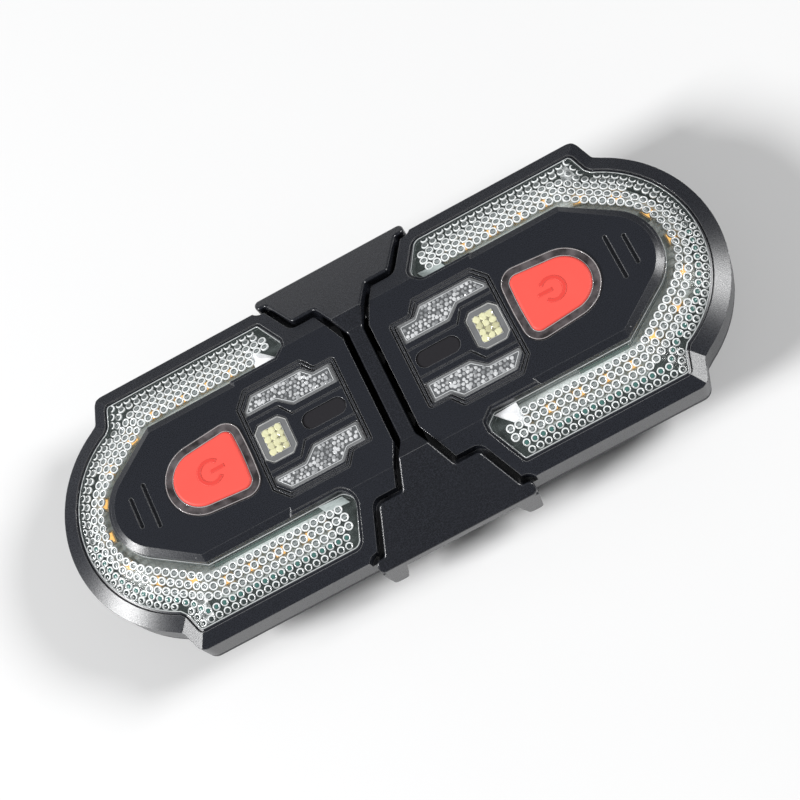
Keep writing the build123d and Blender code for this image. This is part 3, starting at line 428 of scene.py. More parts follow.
class Finish:
    """A material whose shader is being given its textures."""

    def __init__(self, name, stretch=(1, 1, 1)):
        self.material = bpy.data.materials.new(name)
        self.material.use_nodes = True
        self.tree = self.material.node_tree
        self.tree.nodes.clear()
        output = self.node("OutputMaterial")
        self.shader = self.node("BsdfPrincipled")
        self.feed(output.inputs["Surface"], self.shader.outputs["BSDF"])
        self.place = self.stretched(stretch)

    def node(self, kind):
        """A new node."""
        return self.tree.nodes.new(f"ShaderNode{kind}")

    def feed(self, socket, value):
        """Gives a socket another node's output, a number or a colour."""
        if isinstance(value, bpy.types.NodeSocket):
            self.tree.links.new(value, socket)
        elif isinstance(value, (int, float)):
            socket.default_value = value
        else:
            socket.default_value = (*value[:3], 1)

    def stretched(self, stretch):
        """Object coordinates, stretched along the axes."""
        mapping = self.node("Mapping")
        mapping.inputs["Scale"].default_value = stretch
        self.feed(mapping.inputs["Vector"], self.node("TexCoord").outputs["Object"])
        return mapping.outputs["Vector"]

    def texture(self, kind, output, inputs, place=None):
        """An output of a texture that has these inputs."""
        node = self.node(kind)
        self.feed(node.inputs["Vector"], self.place if place is None else place)
        for name, value in inputs.items():
            self.feed(node.inputs[name], value)
        return node.outputs[output]

    def noise(self, size, detail=3, roughness=0.55, place=None):
        """Noise whose features have about this size."""
        inputs = {"Scale": 1 / size, "Detail": detail, "Roughness": roughness}
        return self.texture("TexNoise", "Fac", inputs, place)

    def attribute(self, name):
        """A value stored on the mesh."""
        reader = self.node("Attribute")
        reader.attribute_name = name
        return reader.outputs["Fac"]

    def ramp(self, source, stops):
        """Colours or values at places from 0 to 1."""
        node = self.node("ValToRGB")
        while len(node.color_ramp.elements) < len(stops):
            node.color_ramp.elements.new(1)
        for element, (place, value) in zip(node.color_ramp.elements, stops):
            element.position = place
            element.color = (value, value, value, 1) if isinstance(value, (int, float)) else (*value[:3], 1)
        self.feed(node.inputs["Fac"], source)
        return node.outputs["Color"]

    def mixed(self, share, first, second, way="MIX"):
        """Two colours mixed by a share."""
        node = self.node("Mix")
        node.data_type = "RGBA"
        node.blend_type = way
        for place, value in ((0, share), (6, first), (7, second)):
            self.feed(node.inputs[place], value)
        return node.outputs[2]

    def maths(self, way, first, second):
        """A product, a maximum or the like of two values."""
        node = self.node("Math")
        node.operation = way
        self.feed(node.inputs[0], first)
        self.feed(node.inputs[1], second)
        return node.outputs[0]

    def soft_edges(self, radius):
        """Normals that round every edge by this radius, and a mask that is 1 along the edges."""
        bevel = self.node("Bevel")
        bevel.samples = 4
        bevel.inputs["Radius"].default_value = radius
        product = self.node("VectorMath")
        product.operation = "DOT_PRODUCT"
        self.feed(product.inputs[0], bevel.outputs["Normal"])
        self.feed(product.inputs[1], self.node("NewGeometry").outputs["Normal"])
        return bevel.outputs["Normal"], self.ramp(product.outputs["Value"], [(0.80, 1), (0.985, 0)])

    def bump(self, height, depth, normal=None):
        """Normals of the surface raised by a height texture."""
        node = self.node("Bump")
        self.feed(node.inputs["Distance"], depth)
        self.feed(node.inputs["Height"], height)
        if normal is not None:
            self.feed(node.inputs["Normal"], normal)
        return node.outputs["Normal"]

    def finished(self, inputs):
        """The material, with these inputs on its shader."""
        for name, value in inputs.items():
            self.feed(self.shader.inputs[name], value)
        return self.material


def scaled(colour, share):
    """The colour made darker or paler."""
    return [min(1, c * share) for c in colour]


def grained_plastic(name, colour, grain_size, grain_depth, roughness, specular=0.5):
    """Moulded plastic with a spark-eroded grain, smoother on its edges and paler there from a painted
    highlight.
    """
    finish = Finish(name)
    grain = finish.noise(grain_size, 4, 0.6)
    patches = finish.noise(14 * MM, 2)
    normal, edges = finish.soft_edges(0.22 * MM)
    speckles = finish.ramp(grain, [(0.42, 0), (0.64, 1)])
    speckled = finish.mixed(speckles, scaled(colour, 0.4), scaled(colour, 2.1))
    clouded = finish.mixed(patches, speckled, scaled(colour, 1.15))
    rough = finish.ramp(grain, [(0.25, roughness - 0.07), (0.75, roughness + 0.09)])
    # Paler edges: a painted highlight along every edge.
    painted_edge_highlight = finish.maths("MULTIPLY", edges, 0.9)
    return finish.finished({
        "Base Color": finish.mixed(painted_edge_highlight, clouded, [0.30 + c for c in colour]),
        "Roughness": finish.mixed(edges, rough, (roughness - 0.14,) * 3),
        "Specular IOR Level": specular,
        "Normal": finish.bump(grain, grain_depth, normal),
    })


def soft_rubber(name, colour):
    """Matte rubber with a little dust in its grain and a painted highlight along its edges."""
    finish = Finish(name)
    grain = finish.noise(0.5 * MM, 5, 0.65)
    dust = finish.ramp(finish.noise(5 * MM, 4), [(0.5, 0), (0.85, 0.35)])
    normal, edges = finish.soft_edges(0.2 * MM)
    dusty = finish.mixed(dust, colour, [c + 0.03 for c in colour])
    # The edges are paler: a painted highlight.
    return finish.finished({
        "Base Color": finish.mixed(edges, dusty, scaled(colour, 1.8)),
        "Roughness": finish.ramp(grain, [(0.2, 0.68), (0.8, 0.86)]),
        "Sheen Weight": 0.1,
        "Normal": finish.bump(grain, 0.02 * MM, normal),
    })


def open_foam(name, colour):
    """Foam with open cells."""
    finish = Finish(name)
    cells = finish.texture("TexVoronoi", "Distance", {"Scale": 1 / (0.4 * MM), "Randomness": 1.0})
    return finish.finished({
        "Base Color": finish.ramp(cells, [(0.1, scaled(colour, 0.4)), (0.6, colour)]),
        "Roughness": 0.95,
        "Normal": finish.bump(cells, 0.1 * MM),
    })


def plated_steel(name, colour, roughness=0.3):
    """Plated steel with fine turning marks, dull patches and a painted highlight along its edges."""
    finish = Finish(name)
    marks = finish.noise(0.25 * MM, place=finish.stretched((1, 1, 6)))
    patches = finish.noise(1.5 * MM, 4)
    normal, edges = finish.soft_edges(0.08 * MM)
    dull = finish.mixed(patches, colour, scaled(colour, 0.7))
    # The edges are paler: a painted highlight.
    return finish.finished({
        "Base Color": finish.mixed(edges, dull, scaled(colour, 1.3)),
        "Roughness": finish.ramp(patches, [(0.3, roughness - 0.08), (0.7, roughness + 0.12)]),
        "Metallic": 1.0,
        "Normal": finish.bump(marks, 0.01 * MM, normal),
    })


def crinkled_foil(name, colour):
    """Pouch foil with soft creases."""
    finish = Finish(name)
    creases = finish.noise(6 * MM, 6, 0.6)
    return finish.finished({
        "Base Color": finish.ramp(creases, [(0.3, scaled(colour, 0.75)), (0.7, colour)]),
        "Roughness": 0.35,
        "Metallic": 0.85,
        "Normal": finish.bump(creases, 0.2 * MM),
    })


def clear_plastic(
    name, colour, alpha, roughness=0.08, frost=0.0, edge_alpha=0.5, edge_highlight_tint=1.25, streak=0.86,
):
    """Clear moulded plastic: faint flow lines, frosting in patches and denser edges, which a painted highlight
    makes paler.
    """
    finish = Finish(name)
    flow = finish.noise(4 * MM)
    haze = finish.noise(0.7 * MM, 4, 0.6)
    normal, edges = finish.soft_edges(0.18 * MM)
    body = finish.mixed(finish.ramp(flow, [(0.35, 0), (0.65, 1)]), scaled(colour, streak), colour)
    # The edges' paler colour is a painted highlight.
    return finish.finished({
        "Base Color": finish.mixed(edges, body, scaled(colour, edge_highlight_tint)),
        "Roughness": finish.ramp(haze, [(0.3, roughness), (0.75, roughness + 0.06 + frost)]),
        "Alpha": finish.ramp(edges, [(0, alpha), (1, min(1, alpha + edge_alpha))]),
        "IOR": 1.49,
        "Coat Weight": 0.6,
        "Coat Roughness": 0.04,
        "Normal": finish.bump(flow, 0.02 * MM, normal),
    })


def smoked_plastic(name, colour):
    """Dark plastic with a satin face and a painted highlight along its edges."""
    finish = Finish(name)
    grain = finish.noise(0.3 * MM, 5, 0.7)
    normal, edges = finish.soft_edges(0.25 * MM)
    face = finish.mixed(grain, scaled(colour, 0.7), scaled(colour, 1.3))
    # The edges are paler: a painted highlight.
    return finish.finished({
        "Base Color": finish.mixed(edges, face, [c + 0.05 for c in colour]),
        "Roughness": finish.ramp(grain, [(0.2, 0.38), (0.8, 0.5)]),
        "Normal": finish.bump(grain, 0.012 * MM, normal),
    })


def soft_touch(name, colour):
    """Matte coloured plastic of the buttons, paler along its edges from a painted highlight."""
    finish = Finish(name)
    grain = finish.noise(0.25 * MM, 4, 0.6)
    shade = finish.noise(9 * MM, 2)
    normal, edges = finish.soft_edges(0.3 * MM)
    deep = (colour[0] * 0.93, colour[1] * 0.86, colour[2] * 0.86)
    face = finish.mixed(shade, deep, colour)
    # The edges are paler: a painted highlight.
    return finish.finished({
        "Base Color": finish.mixed(finish.maths("MULTIPLY", edges, 0.5), face, (1, 0.35, 0.3)),
        "Roughness": finish.ramp(grain, [(0.25, 0.44), (0.75, 0.58)]),
        "Specular IOR Level": 0.35,
        "Normal": finish.bump(grain, 0.008 * MM, normal),
    })


def solder_mask(name, colour):
    """Circuit board coating, with copper tracks under it showing as faint raised lines."""
    finish = Finish(name)
    tracks = finish.texture("TexBrick", "Color", {
        "Scale": 1 / (6 * MM),
        "Mortar Size": 0.03,
        "Color1": (1, 1, 1),
        "Color2": (0.9, 0.9, 0.9),
        "Mortar": (0.4, 0.4, 0.4),
    })
    haze = finish.noise(8 * MM)
    coat = finish.mixed(haze, scaled(colour, 0.85), colour)
    return finish.finished({
        "Base Color": finish.mixed(0.35, coat, tracks, "MULTIPLY"),
        "Roughness": finish.ramp(haze, [(0.3, 0.3), (0.7, 0.42)]),
        "Normal": finish.bump(tracks, 0.02 * MM),
    })


def phosphor(name, colour, painted_glow):
    """Resin with phosphor in it, a little mottled, with an emission that is painted light and brightens it in
    the shade under the lens.
    """
    finish = Finish(name)
    grain = finish.noise(0.5 * MM, 4)
    tone = finish.ramp(grain, [(0.3, scaled(colour, 0.8)), (0.7, colour)])
    # The emission is painted light that brightens the phosphor.
    return finish.finished({
        "Base Color": tone,
        "Emission Color": tone,
        "Emission Strength": painted_glow,
        "Roughness": 0.35,
        "Normal": finish.bump(grain, 0.02 * MM),
    })


def lenslet_glass(name, ring, centre, dark, sea_green):
    """Lenslets: a pale ring and a thin dark line inside it, painted reflection and shade, and a clear middle
    or one painted dark or sea green.
    """
    finish = Finish(name)
    reach, shine, tint = (finish.attribute(stored) for stored in ("reach", "shine", "tint"))
    haze = finish.noise(0.5 * MM)
    profile = finish.ramp(reach, [(0.40, centre), (0.50, dark), (0.60, dark), (0.68, ring), (1.0, ring)])
    # Painted shade: where the stored shine is low, a ring takes the dark colour and turns clearer.
    dim = finish.mixed(shine, dark, profile)
    # The middle's ground is painted: dark for painted shade, sea green for the green board seen in shade
    # through the lens.
    ground = finish.ramp(tint, [(0.5, dark), (1.0, sea_green)])
    cloud = finish.ramp(tint, [(0.0, 0), (0.5, 0.9)])
    tinted = finish.maths("MULTIPLY", cloud, finish.ramp(reach, [(0.55, 1), (0.62, 0)]))
    toned = finish.mixed(tinted, dim, ground)
    cover = finish.ramp(reach, [(0.36, 0.30), (0.50, 0.70), (0.62, 0.85), (0.68, 1.0), (1.0, 1.0)])
    body = finish.maths("MULTIPLY", cover, finish.ramp(shine, [(0, 0.2), (1, 1)]))
    return finish.finished({
        "Base Color": finish.mixed(haze, toned, scaled(ring, 0.92), "MULTIPLY"),
        "Roughness": finish.ramp(haze, [(0.3, 0.08), (0.7, 0.18)]),
        "Alpha": finish.maths("MAXIMUM", body, tinted),
        "Coat Weight": 0.7,
        "Coat Roughness": 0.05,
    })


def crushed_ice(name, dark, pale, alpha):
    """Facets that each have their own shade, from clear and dark to pale."""
    finish = Finish(name)
    shade = finish.attribute("shade")
    haze = finish.noise(0.6 * MM)
    middle = [(a + b) / 2 for a, b in zip(dark, pale)]
    tone = finish.ramp(shade, [(0.0, dark), (0.45, middle), (0.8, pale)])
    return finish.finished({
        "Base Color": finish.mixed(haze, tone, scaled(pale, 0.8), "MULTIPLY"),
        "Roughness": finish.ramp(haze, [(0.3, 0.06), (0.7, 0.2)]),
        "Alpha": finish.ramp(shade, [(0, alpha), (1, 1)]),
        "Coat Weight": 1.0,
        "Coat Roughness": 0.03,
    })


def satin_white(name, colour, streak=0.25):
    """Pale satin plastic with faint streaks and a painted white highlight along its edges."""
    finish = Finish(name, (1, 3, 1))
    streaks = finish.noise(1.2 * MM, 4)
    normal, edges = finish.soft_edges(0.12 * MM)
    tone = finish.ramp(streaks, [(0.25, scaled(colour, 1 - streak)), (0.7, colour)])
    # The edges are white: a painted highlight.
    return finish.finished({
        "Base Color": finish.mixed(edges, tone, (1, 1, 1)),
        "Roughness": finish.ramp(streaks, [(0.3, 0.2), (0.7, 0.38)]),
        "Normal": finish.bump(streaks, 0.01 * MM, normal),
    })


def studio_floor(name, colour):
    """Pale floor with a very faint mottle."""
    finish = Finish(name)
    mottle = finish.noise(60 * MM, 2)
    return finish.finished({
        "Base Color": finish.ramp(mottle, [(0.3, scaled(colour, 0.995)), (0.7, colour)]),
        "Roughness": 0.9,
        "Specular IOR Level": 0.1,
    })


def put_on(slots, material):
    """Gives the CAD pieces in these record slots the material."""
    for name, node in frame["nodes"].items():
        if SLOTS[name] in slots:
            if not node.material_slots:
                node.data.materials.append(material)
            for place in node.material_slots:
                place.material = material


# Sizes and colours that a user would change

def size_setting(name, description, default):
    """A length that a user can set."""
    return FloatProperty(name=name, description=description, default=default, unit="LENGTH", precision=5)


def colour_setting(name, description, default):
    """A colour that a user can set."""
    return FloatVectorProperty(
        name=name, description=description, default=default, subtype="COLOR", min=0, max=1,
    )


class SignalLightSizes(PropertyGroup):
    """Sizes of the small pieces."""
    lenslet_pitch: size_setting("Lenslet pitch", "Distance between lenslets along a row", 2.24 * MM)
    lenslet_radius: size_setting("Lenslet radius", "Radius of a lenslet of the inner rows", 1.11 * MM)
    lenslet_height: size_setting("Lenslet height", "Height of a lenslet's ring above the lens", 0.24 * MM)
    grain_size: size_setting("Grain size", "Size of the grain on the shells", 0.22 * MM)
    bracket_grain_size: size_setting("Bracket grain size", "Size of the grain on the bracket", 0.34 * MM)
    pebble_size: size_setting("Pebble size", "Spacing of the pebbles in the side windows", 1.12 * MM)
    mark_line: size_setting("Power mark line", "Width of the raised band of the power mark", 1.05 * MM)
    rib_pitch: size_setting("Pad rib pitch", "Distance between ribs on the post pad", 2.0 * MM)


class SignalLightColours(PropertyGroup):
    """Colours of the finishes."""
    shell: colour_setting("Shell", "Black plastic of the lamps", (0.0125, 0.0140, 0.0190))
    bracket: colour_setting("Bracket", "Black plastic of the bracket", (0.0110, 0.0122, 0.0165))
    button: colour_setting("Button", "Red of the buttons", (0.93, 0.105, 0.082))
    lens: colour_setting("Lens", "Tint of the signal lens", (0.50, 0.60, 0.58))
    # The lenslet ring's pale colour is a painted reflection.
    ring: colour_setting("Lenslet ring", "Pale ring of each lenslet", (0.93, 0.95, 0.95))
    amber: colour_setting("Amber", "Phosphor of the signal LEDs", (0.95, 0.52, 0.13))
    warm_white: colour_setting("Warm white", "Phosphor of the white LEDs", (0.90, 0.89, 0.64))
    # The board's pale coating is partly the white film on the boards and partly painted light, paler to offset
    # the shade under the lens.
    board: colour_setting("Board", "Coating of the circuit boards", (0.84, 0.90, 0.89))
    floor: colour_setting("Floor", "Floor under the light", (0.80, 0.80, 0.80))


# Operators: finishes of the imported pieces

class SIGNALLIGHT_OT_moulded_plastics(Operator):
    """Give the shells, covers, bracket and post mount their grained black plastic"""
    bl_idname = "signal_light.moulded_plastics"
    bl_label = "Moulded plastics"

    def execute(self, context):
        sizes, colours = context.scene.signal_light_sizes, context.scene.signal_light_colours
        shell = grained_plastic(
            "shell plastic", colours.shell, sizes.grain_size, 0.012 * MM, roughness=0.28, specular=0.6,
        )
        bracket = grained_plastic(
            "bracket plastic", colours.bracket, sizes.bracket_grain_size, 0.016 * MM, roughness=0.25,
            specular=0.75,
        )
        cover = grained_plastic(
            "cover plastic", colours.shell, sizes.grain_size, 0.012 * MM, roughness=0.5, specular=0.3,
        )
        put_on({"shell_plastic"}, shell)
        put_on({"cover_plastic"}, cover)
        put_on({"bracket_plastic"}, bracket)
        return {"FINISHED"}


class SIGNALLIGHT_OT_rubbers(Operator):
    """Give the seals, pads and port plugs their rubber or foam"""
    bl_idname = "signal_light.rubbers"
    bl_label = "Rubbers and foam"

    def execute(self, context):
        rubber = soft_rubber("black rubber", (0.022, 0.022, 0.024))
        put_on({"seal_rubber", "pad_rubber", "plug_rubber"}, rubber)
        put_on({"foam"}, open_foam("battery foam", (0.08, 0.08, 0.085)))
        return {"FINISHED"}


class SIGNALLIGHT_OT_metals(Operator):
    """Give the screws, ports and batteries their metal"""
    bl_idname = "signal_light.metals"
    bl_label = "Metals"

    def execute(self, context):
        put_on({"screw_steel"}, plated_steel("zinc plated steel", (0.55, 0.55, 0.56)))
        put_on({"port_steel"}, plated_steel("port steel", (0.68, 0.68, 0.70), roughness=0.22))
        put_on({"battery_foil"}, crinkled_foil("pouch foil", (0.72, 0.73, 0.75)))
        return {"FINISHED"}


class SIGNALLIGHT_OT_clear_parts(Operator):
    """Give the lenses, windows and button rings their clear or smoked plastic"""
    bl_idname = "signal_light.clear_parts"
    bl_label = "Clear parts"

    def execute(self, context):
        tint = context.scene.signal_light_colours.lens
        # The lens, window and ring plastics are paler on their edges: a painted highlight.
        lens = clear_plastic("lens plastic", tint, alpha=0.08, edge_alpha=0.6, edge_highlight_tint=1.8)
        window = clear_plastic(
            "window plastic", (0.21, 0.215, 0.22), alpha=0.88, roughness=0.12, frost=0.15, edge_highlight_tint=4,
        )
        ring = clear_plastic(
            "ring plastic", (0.17, 0.15, 0.155), alpha=0.75, roughness=0.1, edge_highlight_tint=5, streak=0.2,
        )
        put_on({"clear_lens"}, lens)
        put_on({"clear_window"}, window)
        put_on({"clear_ring"}, ring)
        put_on({"dark_window"}, smoked_plastic("smoked plastic", (0.014, 0.013, 0.016)))
        return {"FINISHED"}


class SIGNALLIGHT_OT_buttons(Operator):
    """Give the buttons their soft red plastic and the switch plungers their white"""
    bl_idname = "signal_light.buttons"
    bl_label = "Buttons"

    def execute(self, context):
        put_on({"button_red"}, soft_touch("button plastic", context.scene.signal_light_colours.button))
        put_on({"plunger_white"}, satin_white("plunger plastic", (0.8, 0.8, 0.78)))
        return {"FINISHED"}


class SIGNALLIGHT_OT_electronics(Operator):
    """Give the boards, chips and LED packages their finish"""
    bl_idname = "signal_light.electronics"
    bl_label = "Electronics"

    def execute(self, context):
        put_on({"board_green"}, solder_mask("board coating", context.scene.signal_light_colours.board))
        resin = grained_plastic("chip resin", (0.02, 0.02, 0.021), 0.12 * MM, 0.01 * MM, roughness=0.4)
        put_on({"chip_black"}, resin)
        put_on({"amber_led"}, satin_white("amber LED package", (0.75, 0.55, 0.28), streak=0.15))
        put_on({"white_led"}, satin_white("white LED package", (0.78, 0.77, 0.62), streak=0.15))
        return {"FINISHED"}


# Operators: pieces of the lens

def inner_row(start_x, reach, nose_reach):
    """Half of a lenslet row that follows the island, from an arm's end to the nose."""
    corner = Vector((island_taper_x, island_half_width))
    nose = Vector((island_nose_x, 0))
    to_corner = corner - nose
    lean = math.atan2(to_corner.y, to_corner.x) - math.acos(island_nose_radius / to_corner.length)
    line = [Vector((start_x, island_half_width + reach))]
    line += arc_line(corner, reach, math.pi / 2, lean, 8)
    return line + arc_line(nose, island_nose_radius + nose_reach, lean, 0)


def outer_row(start_x, inset, nose_inset):
    """Half of a lenslet row that follows the lens's rim, from an arm's end to the nose."""
    low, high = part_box("right_signal_lens")
    nose = Vector((lens_nose_x, 0))
    line = [
        Vector((start_x, high.y - inset)),
        Vector((lens_corner_x - inset, high.y - inset)),
        lens_notch - Vector((inset, inset / 3)),
    ]
    return line + arc_line(nose, high.x - lens_nose_x - nose_inset, lens_nose_angle, 0)


def lenslet_places(pitch, radius):
    """Plan places of the right lamp's lenslets, with each one's size and how far out its row is."""
    places = []
    for follows, start_x, reach, nose_reach, radius_share, outwards, half_step in lenslet_rows:
        row = inner_row if follows == "island" else outer_row
        size = radius * radius_share
        for point in spread_out(row(start_x, reach, nose_reach), pitch, half_step):
            for side in (1, -1):
                place = Vector((point.x, side * point.y))
                if side < 0 and point.y < 0.1 * MM:
                    continue
                if all((place - other).length > lenslet_crowding * (size + other_size)
                       for other, other_size, _ in places):
                    places.append((place, size, outwards))
    return places


def lenslet_solid(place, up, size, height):
    """One lenslet: foot, ring, groove and low dome, with each corner's reach from the middle."""
    across = up.orthogonal().normalized()
    along = up.cross(across)
    points, reaches = [], []
    for share, rise in lenslet_profile:
        for k in range(lenslet_sides):
            angle = 2 * math.pi * k / lenslet_sides
            outwards = math.cos(angle) * across + math.sin(angle) * along
            points.append(place + size * share * outwards + up * rise * height)
            reaches.append(share)
    last = len(points) - lenslet_sides
    top, foot = len(points), len(points) + 1
    points += [place + up * lenslet_top * height, place + up * lenslet_profile[0][1] * height]
    reaches += [0.0, 1.0]
    faces = []
    for a in range(0, last, lenslet_sides):
        b = a + lenslet_sides
        for k in range(lenslet_sides):
            m = (k + 1) % lenslet_sides
            faces.append((a + k, a + m, b + m, b + k))
    for k in range(lenslet_sides):
        m = (k + 1) % lenslet_sides
        faces.append((last + k, last + m, top))
        faces.append((m, k, foot))
    return points, reaches, faces


def shaded_ground_paint(outwards, lower_side):
    """How a row's ground is painted: 0 is clear, 0.5 dark for painted shade and 1 sea green for the green
    board seen in shade, on the lower side.
    """
    if outwards > 0.8:
        return 0.5
    if outwards > 0.3:
        return 1.0 if lower_side else 0.25
    return 0.0


class SIGNALLIGHT_OT_lenslets(Operator):
    """Add the rows of ringed lenslets on both signal lenses"""
    bl_idname = "signal_light.lenslets"
    bl_label = "Lenslets"

    def execute(self, context):
        sizes, ring = context.scene.signal_light_sizes, context.scene.signal_light_colours.ring
        glass = lenslet_glass(
            "lenslet plastic", ring, centre=(0.30, 0.35, 0.35), dark=(0.02, 0.03, 0.03),
            sea_green=(0.05, 0.17, 0.15),
        )
        places = lenslet_places(sizes.lenslet_pitch, sizes.lenslet_radius)
        for side, turn in SIDES.items():
            surface = surface_of(f"{side}_signal_lens")
            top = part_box(f"{side}_signal_lens")[1].z + MM
            points, faces, reaches, shines, ground_paint_values = [], [], [], [], []
            for place, size, outwards in places:
                if inside_plan(place, tip_facet, 0):
                    continue
                edge = arc_line(place, size, 0, 2 * math.pi, lenslet_feelers)
                hits = [surface_at(surface, near, top, turn) for near in [place] + edge]
                foot, up = hits[0]
                if any(hit is None or normal.z < 0.5 or abs(hit.z - foot.z) > size for hit, normal in hits):
                    continue
                new_points, new_reaches, new_faces = lenslet_solid(foot, up, size, sizes.lenslet_height)
                faces += [tuple(len(points) + i for i in face) for face in new_faces]
                points += new_points
                reaches += new_reaches
                # Painted ground and painted shade: each row's ground by how far out it is and which side it is
                # on, and a shine that dims the downhill half of an outer lenslet's ring, more on the upper
                # side.
                ground_paint_values += [shaded_ground_paint(outwards, foot.y < 0)] * len(new_points)
                downhill = Vector((up.x, up.y, 0)).normalized()
                shading = outwards * (upper_side_shading if foot.y > 0 else lower_side_shading)
                for point in new_points:
                    lean = (point - foot).dot(downhill) / size
                    shines.append(1 - shading * max(0, min(1, 0.5 + shading_slope * lean)))
            piece = new_piece(f"{side}_lenslets", points, faces, f"{side}_lamp", glass)
            for name, values in (("reach", reaches), ("shine", shines), ("tint", ground_paint_values)):
                stored = piece.data.attributes.new(name, "FLOAT", "POINT")
                stored.data.foreach_set("value", values)
        return {"FINISHED"}


class SIGNALLIGHT_OT_lens_rims(Operator):
    """Add the fine bright bead round each signal lens, a pale bead that paints the highlight on the lens rim
    """
    bl_idname = "signal_light.lens_rims"
    bl_label = "Lens rims"

    def execute(self, context):
        # A pale bead that paints the highlight along the lens rim.
        bead = clear_plastic("lens rim highlight", (0.75, 0.78, 0.78), alpha=0.75, roughness=0.06, edge_alpha=0.2)
        for side in SIDES:
            points, faces = [], []
            for loop in upper_loops(f"{side}_signal_lens", least_rise=0.5):
                if len(loop) > least_loop_corners:
                    swept_bead(loop, rim_highlight_radius, True, points, faces)
            new_piece(f"{side}_lens_rim", points, faces, f"{side}_lamp", bead)
        return {"FINISHED"}


class SIGNALLIGHT_OT_ring_lines(Operator):
    """Add the fine bright beads round each button ring, pale beads that paint the highlights on its edges"""
    bl_idname = "signal_light.ring_lines"
    bl_label = "Ring lines"

    def execute(self, context):
        # Pale beads that paint the highlights along the ring's edges.
        bead = clear_plastic("ring highlight line", (0.50, 0.47, 0.47), alpha=0.8, roughness=0.06, edge_alpha=0.2)
        for side in SIDES:
            points, faces = [], []
            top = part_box(f"{side}_button_ring")[1].z
            for loop in upper_loops(f"{side}_button_ring", least_rise=0.9):
                loop_z = sum(p.z for p in loop) / len(loop)
                if len(loop) > least_ring_corners and loop_z > top - 0.1 * MM:
                    swept_bead(loop, ring_highlight_radius, True, points, faces)
            new_piece(f"{side}_ring_lines", points, faces, f"{side}_lamp", bead)
        return {"FINISHED"}


class SIGNALLIGHT_OT_tip_facets(Operator):
    """Add the bare facet at each end of each signal lens, painted pale or grey for the reflection it shows"""
    bl_idname = "signal_light.tip_facets"
    bl_label = "Tip facets"

    def execute(self, context):
        # Painted reflection: the pale and the grey stand in for the light that the bare facets reflect.
        pale = satin_white("tip facet reflection paint", (0.93, 0.94, 0.96), streak=0.12)
        grey = satin_white("small facet reflection paint", (0.46, 0.52, 0.51), streak=0.3)
        facets = (
            ("tip_facet", tip_facet, tip_facet_peak, pale),
            ("round_facet", round_facet, round_facet_peak, grey),
        )
        for side, turn in SIDES.items():
            surface = surface_of(f"{side}_signal_lens")
            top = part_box(f"{side}_signal_lens")[1].z + MM
            for name, plan, peak, material in facets:
                feet = [surface_at(surface, place, top, turn)[0] for place in plan]
                middle = surface_at(surface, sum(plan, Vector((0, 0))) / len(plan), top, turn)[0]
                count = len(plan)
                points = [foot - upwards(facet_half_thickness) for foot in feet]
                points += [foot + upwards(facet_half_thickness) for foot in feet]
                points.append(middle + upwards(peak))
                faces = [tuple(reversed(range(count)))]
                for i in range(count):
                    j = (i + 1) % count
                    faces.append((i, j, count + j, count + i))
                    faces.append((count + i, count + j, 2 * count))
                new_piece(
                    f"{side}_{name}", points, faces, f"{side}_lamp", material,
                    smooth=False, edge_radius=0.05 * MM,
                )
        return {"FINISHED"}


class SIGNALLIGHT_OT_shoulder_reflectors(Operator):
    """Add the pale reflector under the shoulder of each lens's blunt arm"""
    bl_idname = "signal_light.shoulder_reflectors"
    bl_label = "Shoulder reflectors"

    def execute(self, context):
        pale = satin_white("reflector plastic", (0.93, 0.94, 0.95), streak=0.12)
        for side, turn in SIDES.items():
            surface = surface_of(f"{side}_signal_lens")
            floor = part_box(f"{side}_signal_lens")[0].z - MM
            roof = [surface_at(surface, place, floor, turn, 1)[0] for place in reflector_plan]
            low = [point - upwards(reflector_foot_depth) for point in roof]
            high = [point - upwards(reflector_top_depth) for point in roof]
            points, faces = [], []
            slab(low, high, points, faces)
            new_piece(
                f"{side}_shoulder_reflector", points, faces, f"{side}_lamp", pale,
                smooth=False, edge_radius=0.08 * MM,
            )
        return {"FINISHED"}


class SIGNALLIGHT_OT_end_shields(Operator):
    """Add the black shield under each end of the signal lenses, a dark sheet that paints the shade seen there
    through the lens
    """
    bl_idname = "signal_light.end_shields"
    bl_label = "End shields"

    def execute(self, context):
        # A dark sheet that paints the shade under the lens ends.
        black = grained_plastic("shield shade paint", (0.012, 0.013, 0.014), 0.3 * MM, 0.02 * MM, roughness=0.5)
        for side, turn in SIDES.items():
            surface = surface_of(f"{side}_signal_lens")
            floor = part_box(f"{side}_signal_lens")[0].z - MM
            points, faces = [], []
            for arm in (1, -1):
                first = len(points)
                for start in shield_starts:
                    y = arm * start.y
                    roof = surface_at(surface, (shield_end_x, y), floor, turn, 1)[0]
                    for x in (start.x, shield_end_x):
                        points += [turned((x, y, roof.z - depth), turn) for depth in shield_depths]
                last = len(points) - 4
                for a in range(first, last, 4):
                    b = a + 4
                    faces += [(a, a + 2, b + 2, b), (a + 1, b + 1, b + 3, a + 3)]
                    faces += [(a, b, b + 1, a + 1), (a + 2, a + 3, b + 3, b + 2)]
                faces += [(first, first + 1, first + 3, first + 2), (last, last + 2, last + 3, last + 1)]
            new_piece(
                f"{side}_end_shields", points, faces, f"{side}_lamp", black, smooth=False,
            )
        return {"FINISHED"}


